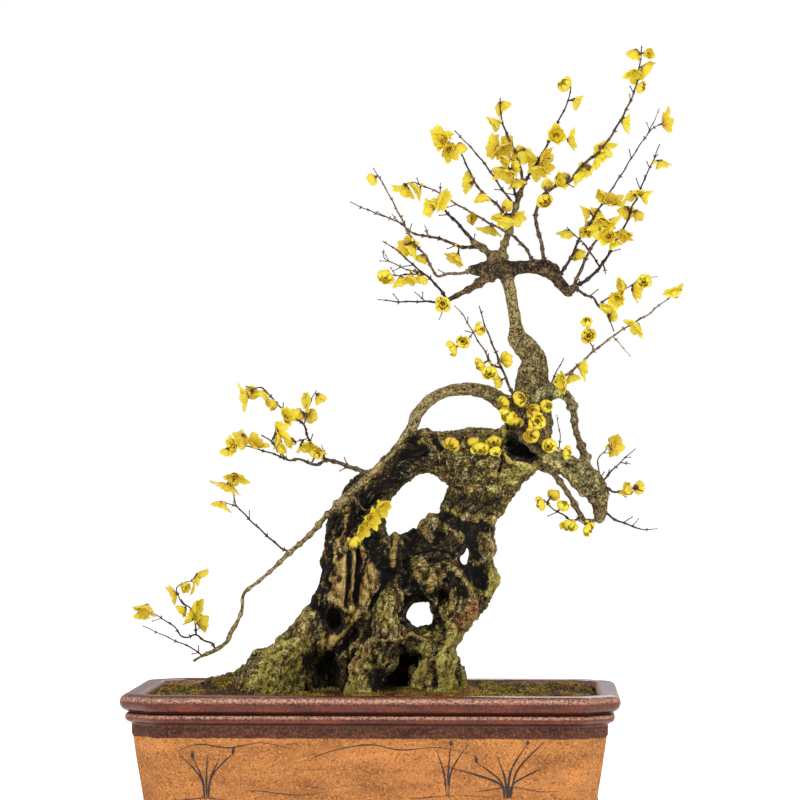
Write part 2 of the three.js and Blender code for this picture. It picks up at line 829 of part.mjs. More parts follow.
// A bloom in one closed skin: a three-sided stalk, a cup of outer petals, and three inner petals
// that stand up inside it. Distances out from the axis and up along it are shares of the radius.
const INNER_PETALS = 3;
const PETAL_TIP = { out: 1, up: 0.84 };
const PETAL_NOTCH = { out: 0.72, up: 0.54 };
const STALK_TOP = { out: 0.15, up: 0.08 };
const CUP_FLOOR = { out: 0.3, up: 0.36 };
const INNER_TIP = { out: 0.4, up: 0.94 };
const CENTRE_DIP = { out: 0, up: 0.5 };
const CUP_HEIGHT = 0.8;
function bloomSkin(root, base, axis, radius, spin) {
  const guide = Math.abs(axis.z) > 0.9 ? new THREE.Vector3(1, 0, 0) : new THREE.Vector3(0, 0, 1);
  const side = guide.cross(axis).normalize();
  const other = axis.clone().cross(side);
  const at = (angle, { out, up }) =>
    base
      .clone()
      .addScaledVector(side, Math.cos(angle) * out * radius)
      .addScaledVector(other, Math.sin(angle) * out * radius)
      .addScaledVector(axis, up * radius);
  const ring = (count, offset, place) =>
    Array.from({ length: count }, (_, j) => at(spin + offset + (2 * Math.PI * j) / count, place));
  const petalTips = ring(PETALS, 0, PETAL_TIP);
  const notches = ring(PETALS, Math.PI / PETALS, PETAL_NOTCH);
  const rim = petalTips.flatMap((tip, k) => [tip, notches[k]]);
  const stalk = ring(INNER_PETALS, 0, STALK_TOP);
  const floor = ring(INNER_PETALS, 0, CUP_FLOOR);
  const tips = ring(INNER_PETALS, Math.PI / INNER_PETALS, INNER_TIP);

  const points = [root, at(0, CENTRE_DIP), ...stalk, ...floor, ...tips, ...rim];
  const stalkAt = 2;
  const floorAt = stalkAt + INNER_PETALS;
  const tipAt = floorAt + INNER_PETALS;
  const rimAt = tipAt + INNER_PETALS;
  const share = rim.length / INNER_PETALS;
  const faces = [];
  for (let j = 0; j < INNER_PETALS; j += 1) {
    const next = (j + 1) % INNER_PETALS;
    const corner = rimAt + (((j + 1) * share) % rim.length);
    for (let i = j * share; i < (j + 1) * share; i += 1) {
      const here = rimAt + i;
      const after = rimAt + ((i + 1) % rim.length);
      faces.push(stalkAt + j, after, here, floorAt + j, here, after);
    }
    faces.push(stalkAt + j, stalkAt + next, corner, floorAt + next, floorAt + j, corner);
    faces.push(0, stalkAt + next, stalkAt + j);
    faces.push(floorAt + j, floorAt + next, tipAt + j);
    faces.push(floorAt + next, 1, tipAt + j, 1, floorAt + j, tipAt + j);
  }
  return solidOf(skin(points, faces));
}

function bloom(twigs, centre, k) {
  const target = new THREE.Vector3(...centre);
  const root = nearestOnTwigs(twigs, target);
  const axis = target.clone().sub(root).normalize();
  const radius = BLOOM_RADIUS + BLOOM_SPREAD * draw(k);
  const stalk = Math.max(target.distanceTo(root) - CUP_HEIGHT * radius, SHORTEST_STALK);
  const base = root.clone().addScaledVector(axis, stalk);
  return bloomSkin(root, base, axis, radius, draw(k + 0.5) * 2 * Math.PI);
}

let bloomCount = 0;
function spray({ twigs, blooms }, carrier) {
  const wood = twigs.map(({ route, radii }) => twig(route, radii, TWIG_SIDES));
  const flowers = blooms.map((centre) => {
    bloomCount += 1;
    return bloom(twigs, centre, bloomCount);
  });
  return largestBody(joined([...wood, ...flowers]).subtract(carrier));
}

// The pot's outline at a height: a rectangle with softened cut corners, moved inwards by an inset.
function potRing(inset, z) {
  const halfLength = POT_LENGTH / 2 - inset;
  const halfWidth = POT_WIDTH / 2 - inset;
  const cut = CORNER_CUT - (2 - Math.SQRT2) * inset;
  const soft = Math.max(LEAST_SOFTNESS, CORNER_SOFTNESS - inset / 2) * Math.tan(Math.PI / 8);
  const slant = soft * Math.SQRT1_2;
  const ring = [];
  for (const [sx, sy] of [[1, -1], [1, 1], [-1, 1], [-1, -1]]) {
    const corner = [
      [halfLength - cut - soft, halfWidth],
      [halfLength - cut + slant, halfWidth - slant],
      [halfLength - slant, halfWidth - cut + slant],
      [halfLength, halfWidth - cut - soft],
    ];
    if (sx * sy > 0) corner.reverse();
    for (const [x, y] of corner) ring.push(new THREE.Vector3(sx * x, sy * y, z));
  }
  return ring;
}

// The pot's outer profile, from the underside of the feet to the inner lip: inset and height.
const POT_PROFILE = [
  [35, 0],
  [32, 12],
  [27, 14],
  [25.5, 17],
  [25.5, 25],
  [29.5, 27],
  [16.5, 110],
  [15.2, 110.5],
  [15, 124.5],
  [10, 126.5],
  [6.8, 130],
  [6.8, 134.5],
  [9.6, 138.7],
  [4, 142],
  [0, 148],
  [0.6, 153],
  [4, 158],
  [10, 160],
  [22, 160],
];

function wallInset(z) {
  const share = (z - FLOOR_TOP) / (WALL_TOP - FLOOR_TOP);
  return WALL_BOTTOM_INSET + (WALL_TOP_INSET - WALL_BOTTOM_INSET) * share;
}

function drainAt(side) {
  const hole = new THREE.CylinderGeometry(DRAIN_RADIUS, DRAIN_RADIUS, 3 * FLOOR_TOP, 20);
  hole.rotateX(Math.PI / 2).translate(side * DRAIN_OFFSET, 0, FLOOR_TOP / 2);
  return solidOf(hole);
}

function boxSolid(length, width, height, centre) {
  const box = new THREE.BoxGeometry(length, width, height);
  box.translate(...centre);
  return solidOf(box);
}

function pot() {
  const body = solidOf(loft(POT_PROFILE.map(([inset, z]) => potRing(inset, z))));
  const inside = solidOf(
    loft([
      potRing(WALL_BOTTOM_INSET, FLOOR_TOP),
      potRing(WALL_TOP_INSET, WALL_TOP),
      potRing(WALL_TOP_INSET, POT_HEIGHT - LIP_BEVEL),
      potRing(WALL_TOP_INSET - LIP_BEVEL - PAST, POT_HEIGHT + PAST),
    ]),
  );
  const channel = (length, width) =>
    boxSolid(length, width, FOOT_HEIGHT + PAST, [0, 0, (FOOT_HEIGHT - PAST) / 2]);
  const betweenEnds = channel(POT_LENGTH - 2 * FOOT_LENGTH, POT_WIDTH);
  const betweenSides = channel(POT_LENGTH, POT_WIDTH - 2 * FOOT_WIDTH);
  return body.subtract(joined([inside, betweenEnds, betweenSides, drainAt(-1), drainAt(1)]));
}

// The soil's mounds: one over the whole pot, one beside each of the tree's outer roots.
const MOUNDS = [
  { height: 5, x: 0, spreadX: 260, spreadY: 150 },
  { height: 20, x: -178, spreadX: 42, spreadY: 60 },
  { height: 5, x: 120, spreadX: 30, spreadY: 70 },
];
const SOIL_RISE = 2;
const CUSHION = 1.8;
const RIPPLE = 1.2;

// The height of the soil's mossy surface.
function soilHeight(x, y) {
  let height = SOIL_EDGE + SOIL_RISE;
  for (const mound of MOUNDS) {
    const across = ((x - mound.x) / mound.spreadX) ** 2 + (y / mound.spreadY) ** 2;
    height += mound.height * Math.exp(-across);
  }
  height += CUSHION * Math.sin(x / 17 + 1) * Math.sin(y / 15);
  return height + RIPPLE * Math.sin(x / 9 + y / 11);
}

const SOIL_STEPS = [1, 0.88, 0.68, 0.44, 0.2];
function soil(trunkRoom) {
  const edge = potRing(wallInset(SOIL_EDGE) + GAP, SOIL_EDGE);
  const bottom = potRing(WALL_BOTTOM_INSET + GAP, FLOOR_TOP + GAP);
  const top = SOIL_STEPS.map((share, i) =>
    edge.map((p) => {
      const x = p.x * share;
      const y = p.y * share;
      return new THREE.Vector3(x, y, i === 0 ? SOIL_EDGE : soilHeight(x, y));
    }),
  );
  const roomSide = MESH_SIDE + 2 * GAP;
  const roomHeight = 2 * (MESH_THICKNESS + GAP);
  const rooms = [-1, 1].map((side) =>
    boxSolid(roomSide, roomSide, roomHeight, [side * DRAIN_OFFSET, 0, FLOOR_TOP + GAP]),
  );
  return largestBody(solidOf(loft([bottom, ...top])).subtract(joined([trunkRoom, ...rooms])));
}

// A square of plastic mesh over a drain hole.
const MESH_CELLS = 2;
const MESH_BAR = 6;
function drainMesh(side) {
  const pitch = (MESH_SIDE - MESH_BAR) / MESH_CELLS;
  const opening = pitch - MESH_BAR;
  const [x, y, z] = [side * DRAIN_OFFSET, 0, FLOOR_TOP + GAP + MESH_THICKNESS / 2];
  const openings = [];
  for (let i = 0; i < MESH_CELLS; i += 1) {
    for (let j = 0; j < MESH_CELLS; j += 1) {
      const across = (i - (MESH_CELLS - 1) / 2) * pitch;
      const back = (j - (MESH_CELLS - 1) / 2) * pitch;
      openings.push(boxSolid(opening, opening, 3 * MESH_THICKNESS, [x + across, y + back, z]));
    }
  }
  return boxSolid(MESH_SIDE, MESH_SIDE, MESH_THICKNESS, [x, y, z]).subtract(joined(openings));
}

// Materials.
const clay = new THREE.MeshStandardMaterial({ color: 0x4a2218, roughness: 0.35, metalness: 0 });
const earth = new THREE.MeshStandardMaterial({ color: 0x4b4a1e, roughness: 0.95, metalness: 0 });
const bark = new THREE.MeshStandardMaterial({ color: 0x5a4a2a, roughness: 0.9, metalness: 0 });
const blossom = new THREE.MeshStandardMaterial({ color: 0xe6c618, roughness: 0.5, metalness: 0 });
const plastic = new THREE.MeshStandardMaterial({ color: 0x202020, roughness: 0.6, metalness: 0 });

const tree = new THREE.Group();
function place(name, solid, material) {
  const mesh = new THREE.Mesh(geometryOf(solid), material);
  mesh.name = name;
  tree.add(mesh);
}

const carrier = trunk(GAP);
place("pot", pot(), clay);
place("drain_mesh_left", drainMesh(-1), plastic);
place("drain_mesh_right", drainMesh(1), plastic);
place("soil", soil(carrier), earth);
place("trunk", trunk(), bark);
for (const [name, parts] of Object.entries(SPRAYS)) {
  place(`spray_${name}`, spray(parts, carrier), blossom);
}

// The part's origin is the centre of its footprint, at the bottom of the feet.
const box = new THREE.Box3().setFromObject(tree);
tree.position.set(-(box.min.x + box.max.x) / 2, -(box.min.y + box.max.y) / 2, -box.min.z);
const bonsai = new THREE.Group();
bonsai.add(tree);

export default bonsai;
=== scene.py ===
"""A flowering wintersweet bonsai in a clay pot, built in fine detail around its CAD frame.

Routes and sizes are in millimetres from the centre of the pot's underside, +Z up, front towards -Y.
"""

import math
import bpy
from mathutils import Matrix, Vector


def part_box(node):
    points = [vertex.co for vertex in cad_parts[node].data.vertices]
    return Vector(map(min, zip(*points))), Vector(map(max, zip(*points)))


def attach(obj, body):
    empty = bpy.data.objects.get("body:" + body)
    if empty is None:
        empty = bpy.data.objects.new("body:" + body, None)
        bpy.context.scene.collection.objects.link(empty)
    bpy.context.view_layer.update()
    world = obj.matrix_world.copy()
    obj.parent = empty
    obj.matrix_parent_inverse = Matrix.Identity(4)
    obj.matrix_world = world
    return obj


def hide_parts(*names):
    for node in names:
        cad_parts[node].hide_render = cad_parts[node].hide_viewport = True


bl_info = {
    "name": "Wintersweet Bonsai",
    "version": (1, 0, 0),
    "blender": (4, 5, 0),
    "location": "3D View > Sidebar > Bonsai",
    "description": "Builds a flowering wintersweet bonsai in a clay pot around its CAD frame",
    "category": "Add Mesh",
}

import bpy
import numpy as np
from mathutils import Vector

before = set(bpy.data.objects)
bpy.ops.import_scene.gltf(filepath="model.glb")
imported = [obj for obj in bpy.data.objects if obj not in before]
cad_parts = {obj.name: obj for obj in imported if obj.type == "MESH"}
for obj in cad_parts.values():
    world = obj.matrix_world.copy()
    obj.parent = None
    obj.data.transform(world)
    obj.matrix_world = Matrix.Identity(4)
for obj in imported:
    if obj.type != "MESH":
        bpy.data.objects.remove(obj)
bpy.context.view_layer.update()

MM = 0.001
POT_LOW, POT_HIGH = (np.array(corner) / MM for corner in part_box("pot"))
POT_LENGTH, POT_WIDTH = (POT_HIGH - POT_LOW)[:2]
POT_CENTRE = np.array([*(POT_LOW + POT_HIGH)[:2] / 2, POT_LOW[2]])


# Routes of the wood. A limb's station is x, y, z, half width and half depth, a branch's is x, y, z
# and radius.
LIMBS = {
    "left_buttress": (
        (-149, -12, 110, 50, 48), (-141, -12, 151, 44, 46), (-112, -12, 192, 29, 40),
        (-86, -10, 230, 18, 35), (-62, -6, 267, 14, 32), (-47, -2, 301, 12, 26),
    ),
    "left_column": (
        (-46, 18, 110, 44, 48), (-46, 18, 151, 41, 46), (-40, 10, 207, 41, 46), (-27, 0, 264, 44, 45),
        (-19, -4, 314, 43, 42), (-21, -4, 357, 33, 38), (-8, -4, 394, 24, 34), (11, -4, 417, 19, 32),
        (34, -3, 438, 20, 33), (64, -2, 454, 23, 34), (96, -2, 455, 20, 34),
    ),
    "top_mass": (
        (66, 0, 457, 22, 34), (107, 0, 447, 31, 42), (145, -2, 442, 38, 47), (176, -4, 452, 33, 42),
        (194, -4, 470, 26, 34), (197, -3, 497, 25, 29),
    ),
    "right_column": (
        (142, 0, 440, 40, 46), (132, 0, 407, 36, 44), (117, 2, 380, 30, 42), (110, 4, 351, 32, 42),
        (109, 6, 320, 34, 42), (113, 6, 292, 35, 42), (107, 4, 267, 29, 40), (94, 0, 239, 18, 38),
        (81, -4, 210, 19, 38), (74, -8, 180, 27, 42), (78, -8, 151, 35, 44), (78, -8, 110, 36, 46),
    ),
    "upper_bridge": (
        (-8, -2, 296, 34, 36), (28, 0, 305, 41, 36), (60, 2, 309, 44, 36), (100, 4, 320, 42, 38),
    ),
    "lower_bridge": (
        (-6, 6, 222, 26, 36), (29, 6, 218, 22, 34), (57, 4, 212, 19, 33), (88, 0, 214, 20, 34),
    ),
    "front_root": (
        (28, -8, 322, 22, 26), (22, -16, 270, 20, 28), (16, -26, 226, 21, 30), (4, -38, 189, 20, 30),
        (-13, -46, 151, 19, 30), (-20, -48, 110, 20, 30),
    ),
    "back_wall": (
        (18, 40, 110, 58, 26), (18, 38, 157, 56, 26), (20, 34, 195, 48, 24), (24, 28, 218, 38, 20),
    ),
    "back_right_root": (
        (94, 22, 250, 14, 22), (84, 40, 200, 15, 26), (84, 62, 151, 21, 28), (88, 72, 110, 24, 30),
    ),
    "back_left_root": (
        (-42, 22, 290, 24, 24), (-62, 40, 220, 26, 28), (-78, 62, 151, 28, 30), (-84, 74, 110, 30, 32),
    ),
}

BRANCHES = {
    "leader": (
        (194, -3, 489, 27), (195, -2, 520, 22), (198, 0, 547, 19), (199, 0, 568, 15.5),
        (189, 0, 583, 14), (179, 0, 595, 11), (177.5, 0, 605, 9), (176.5, 1, 615, 7),
        (174, 1, 635, 6.6), (170.5, 0, 655, 6.8), (167, 0, 668, 7.6), (162, 0, 680, 10),
    ),
    "crown_left_stub": (
        (172, 0, 681, 9), (154, -2, 684, 12), (138, -4, 682, 9), (121, -6, 681, 6),
    ),
    "crown_right_limb": (
        (160, 0, 680, 10.5), (182, 2, 685, 8), (199, 1, 685, 8.5), (216, -1, 684, 10.5),
        (227, -2, 674, 8.5), (235, -3, 661, 6.5), (242, -4, 654, 6.5), (252, -6, 661, 5),
    ),
    "crown_up_limb": (
        (156, 2, 688, 7.5), (163, 8, 714, 5.6), (171, 16, 739, 4.9), (178, 24, 766, 4.3),
        (187, 32, 794, 3.6),
    ),
    "crown_low_left_limb": (
        (152, -2, 680, 8), (127, -12, 662, 5.2), (106, -22, 650, 4.2), (91, -30, 642, 3.6),
    ),
    "crown_high_left_limb": (
        (158, -2, 688, 7.5), (136, -14, 709, 5.2), (124, -22, 716, 4.2),
    ),
    "arch": (
        (186, -6, 500, 14), (163, -8, 514, 11), (147, -9, 525, 9.5), (127, -10, 531, 8.3),
        (104, -11, 531, 7.2), (83, -12, 526, 7), (67, -12, 516, 7), (54, -13, 501, 7),
        (48, -15, 485, 6.6), (38, -21, 470, 7), (21, -26, 447, 7.2), (1, -28, 427, 7.2),
        (-19, -29, 409, 7), (-34, -28, 397, 6.2), (-48, -27, 384, 5), (-62, -26, 370, 4.3),
        (-77, -27, 353, 4), (-92, -30, 339, 3.6), (-104, -33, 329, 3.9), (-122, -37, 311, 2.7),
        (-141, -42, 294, 2.5), (-160, -46, 278, 2.5), (-162, -49, 258, 2.5), (-169, -52, 241, 3),
        (-175, -55, 231, 3.7), (-180, -58, 219, 2.8), (-194, -61, 209, 3.3), (-210, -64, 202, 2.1),
        (-220, -66, 196, 1.5),
    ),
    "right_arm": (
        (196, -6, 457, 20), (217, -8, 446, 16), (235, -8, 440, 13), (253, -6, 433, 12.5),
        (269, -4, 420, 13.5), (279, -3, 402, 12), (282, -2, 385, 9.5), (281, -2, 369, 7),
    ),
    "right_arch": (
        (205, 0, 528, 13), (229, 10, 530, 8), (243, 14, 522, 6), (249, 16, 505, 5.4),
        (251, 14, 485, 5), (257, 10, 466, 5.2), (263, 4, 449, 6.4), (268, -2, 432, 9),
    ),
    "front_stick": (
        (184, -34, 480, 7), (190, -42, 468, 5.6), (203, -45, 455, 5), (222, -42, 442, 5),
        (244, -34, 422, 4.6), (264, -24, 403, 4.6), (276, -12, 389, 4),
    ),
    "low_stick": (
        (207, -44, 452, 4.6), (217, -42, 436, 4.3), (234, -38, 414, 4), (246, -34, 396, 4),
        (256, -28, 378, 4), (264, -20, 368, 3.4), (279, -8, 369, 3),
    ),
}

# Hollows of the trunk: centre and half sizes.
HOLLOWS = (
    ((184, -42, 457), (17, 26, 11)), ((172, -44, 464), (9, 24, 9)), ((193, -42, 453), (11, 24, 8)),
    ((-64, -44, 174), (22, 46, 38)), ((-48, -48, 246), (11, 34, 16)),
    ((111, 0, 318), (5.6, 200, 7.4)), ((115.5, 0, 327), (3.2, 200, 9)),
    ((54, 0, 250), (14, 70, 15)),
)

# Half the width of the widest hole that goes right through the wood, and how far round a hollow the bark
# stays calm and is painted dark as shade.
THROUGH_HOLE = 15
HOLLOW_MARGIN = 3.6

# Swellings that round off the gaps and edges of the trunk, as stations of a limb.
SWELLINGS = (
    ((116, 4, 376, 18, 34), (90, 2, 363, 15, 32), (66, 0, 348, 13, 30)),
    ((46, 0, 280, 10, 30), (37, 0, 266, 8, 30), (34, 0, 254, 6, 28)),
    ((70, 0, 280, 11, 30), (80, 0, 264, 9, 30), (84, 0, 250, 7, 28)),
    ((136, 0, 306, 12, 26), (140, 0, 293, 14, 26), (134, 0, 280, 10, 26)),
    ((70, -2, 230, 8, 26), (50, -2, 222, 8, 26), (38, -2, 230, 7, 26)),
    ((96, -8, 196, 8, 24), (99, -10, 172, 11, 26), (104, -12, 150, 14, 28)),
)

# How deep the furrows run on a limb, and how mossy and how dark its bark is.
LIMB_LOOKS = {
    "left_buttress": (0.4, 0.6, 0.0),
    "left_column": (1.0, 0.15, 0.5),
    "top_mass": (0.15, 0.2, 0.0),
    "right_column": (0.6, 0.4, 0.25),
    "upper_bridge": (0.8, 0.12, 1.0),
    "lower_bridge": (0.9, 0.25, 0.55),
    "front_root": (1.0, 0.4, 0.05),
    "back_wall": (0.8, 0.1, 0.8),
    "back_right_root": (0.7, 0.4, 0.2),
    "back_left_root": (0.7, 0.4, 0.2),
}

# How tan a branch is, from dark brown, and how much pale lichen it carries.
BRANCH_LOOKS = {
    "leader": (0.72, 0.1),
    "crown_left_stub": (0.15, 0.0),
    "crown_right_limb": (0.0, 0.0),
    "crown_up_limb": (0.45, 0.0),
    "crown_low_left_limb": (0.1, 0.0),
    "crown_high_left_limb": (0.3, 0.0),
    "arch": (0.85, 0.1),
    "right_arm": (0.6, 0.35),
    "right_arch": (0.3, 0.3),
    "front_stick": (0.25, 0.0),
    "low_stick": (0.3, 0.0),
}

# Marks on the trunk's front: what shows, how strongly, half width, push out of the surface, and the
# route in x and z.
MARKS = (
    ("dark", 1.0, 14, -6, ((54, 460), (40, 447), (17, 420), (-3, 398), (-18, 378), (-34, 358))),
    ("bare", 0.5, 2, 2, ((26, 446), (8, 428), (-10, 408))),
    ("dark", 0.9, 8, -2, ((-50, 372), (-62, 345), (-67, 322), (-67, 298), (-76, 266))),
    # Painted shadow under the top mass.
    ("dark", 0.9, 9, -3, ((122, 352), (127, 326))),
    ("dark", 0.8, 4, -4, ((-44, 356), (-50, 340), (-54, 322))),
    ("bare", 0.7, 3, 3, ((-33, 384), (-37, 360), (-42, 344))),
    ("bare", 0.5, 2.5, 2, ((-20, 372), (-27, 352), (-36, 336))),
    ("bare", 0.6, 3, 3, ((60, 470), (40, 462), (18, 446), (0, 428))),
    ("bare", 1.0, 10.5, 1, ((-42, 318), (-43, 272))),
    ("bare", 0.7, 2.6, 1, ((-23, 327), (-25, 268))),
    ("bare", 1.0, 9, 2, ((3, 320), (-3, 294), (-13, 272))),
    ("dark", 0.8, 3, -5, ((-29, 329), (-30, 295), (-33, 263))),
    ("dark", 0.85, 3.4, -7, ((-17, 331), (-19, 295), (-21, 264))),
    ("dark", 0.9, 3, -4, ((18, 308), (12, 286), (-5, 258))),
    ("dark", 0.8, 3, -3, ((-56, 328), (-60, 287), (-65, 258))),
    ("dark", 0.5, 1.6, -1, ((-47, 300), (-48, 276))),
    ("bare", 0.8, 9, 6, ((-26, 258), (-23, 255))),
    ("bare", 0.9, 8, 7, ((-30, 244), (-49, 224), (-66, 207))),
    ("dark", 1.0, 5, -4, ((-20, 228), (-44, 206), (-62, 192))),
    ("dark", 1.0, 14, -2, ((-55, 252), (-46, 240))),
    ("dark", 0.75, 16, -3, ((-60, 190), (-52, 170), (-60, 148))),
    ("moss", 0.7, 3.5, 4, ((-68, 207), (-79, 178), (-91, 152))),
    ("bare", 0.6, 4.5, 4, ((2, 220), (-10, 203), (-22, 186))),
    ("moss", 1.0, 5, 2, ((-8, 191), (-5, 188))),
    ("bare", 0.45, 7, 2, ((-9, 172), (-16, 149))),
    ("dark", 0.8, 16, -5, ((8, 178), (18, 162), (32, 150))),
    ("dark", 0.55, 13, -3, ((14, 212), (36, 206), (58, 204))),
    ("bare", 1.0, 2.4, 4, ((14, 222), (28, 223), (38, 226), (48, 226), (64, 221))),
    ("dark", 1.0, 12, -6, ((0, 344), (6, 322), (20, 304))),
    ("bare", 0.7, 5, 5, ((28, 346), (25, 330), (24, 314))),
    ("bare", 0.6, 4, 4, ((44, 347), (61, 361), (79, 373))),
    ("dark", 0.7, 4, -4, ((38, 330), (44, 306), (40, 286))),
    # Painted shadow under the top mass.
    ("dark", 0.7, 8, -4, ((84, 376), (110, 362), (139, 360))),
    ("dark", 0.5, 15, 0, ((86, 400), (118, 388), (148, 394))),
    # Painted shadow under the top mass.
    ("dark", 0.55, 14, -2, ((84, 344), (104, 336))),
    ("bare", 0.5, 6, 5, ((60, 318), (74, 300), (70, 284))),
    ("dark", 0.95, 13, -5, ((122, 308), (137, 292))),
    ("dark", 0.85, 9, -4, ((97, 299), (110, 280))),
    ("dark", 0.6, 5, -4, ((52, 290), (60, 270), (54, 254))),
    ("moss", 1.0, 4.5, 2, ((150, 306), (149, 284), (139, 272))),
    ("bare", 0.5, 4, 2, ((143, 344), (144, 320))),
    ("red", 0.75, 9, 2, ((124, 266), (114, 249), (106, 236))),
    ("bare", 0.75, 7, 3, ((119, 250), (103, 226), (84, 200), (72, 170))),
    ("dark", 0.6, 14, -3, ((20, 452), (44, 462), (58, 452))),
    ("dark", 0.6, 12, -3, ((44, 344), (68, 336), (84, 326))),
    ("moss", 0.8, 12, 2, ((-96, 196), (-112, 178), (-126, 158))),
    ("bare", 0.5, 8, 2, ((-84, 226), (-100, 204), (-118, 180))),
    ("dark", 0.6, 5, -4, ((78, 258), (84, 238))),
    ("moss", 0.9, 15, 0, ((98, 222), (94, 200), (96, 174), (98, 150))),
    ("moss", 0.8, 9, 0, ((64, 215), (61, 186), (53, 158))),
    ("dark", 0.6, 4, -4, ((76, 192), (77, 163))),
    ("dark", 0.5, 3, -3, ((108, 206), (104, 180), (110, 156))),
    ("moss", 0.9, 3.6, 4, ((161, 494), (163, 470), (163, 453), (170, 442), (184, 438), (199, 439))),
    ("moss", 0.9, 10, 0, ((166, 420), (178, 430), (200, 436))),
    ("lichen", 0.8, 7, 1, ((203, 524), (214, 531), (226, 529), (236, 520))),
    ("lichen", 0.5, 8, 1, ((222, 450), (240, 440), (256, 425), (268, 405))),
    ("moss", 0.5, 5, 2, ((212, 446), (232, 436), (247, 422), (258, 402))),
    ("dark", 1.0, 14, 0, ((179, 464), (183, 460))),
    ("dark", 0.6, 2.4, -2, ((160, 464), (161, 444), (157, 430))),
    ("dark", 1.0, 4, -5, ((76, 472), (84, 458))),
)

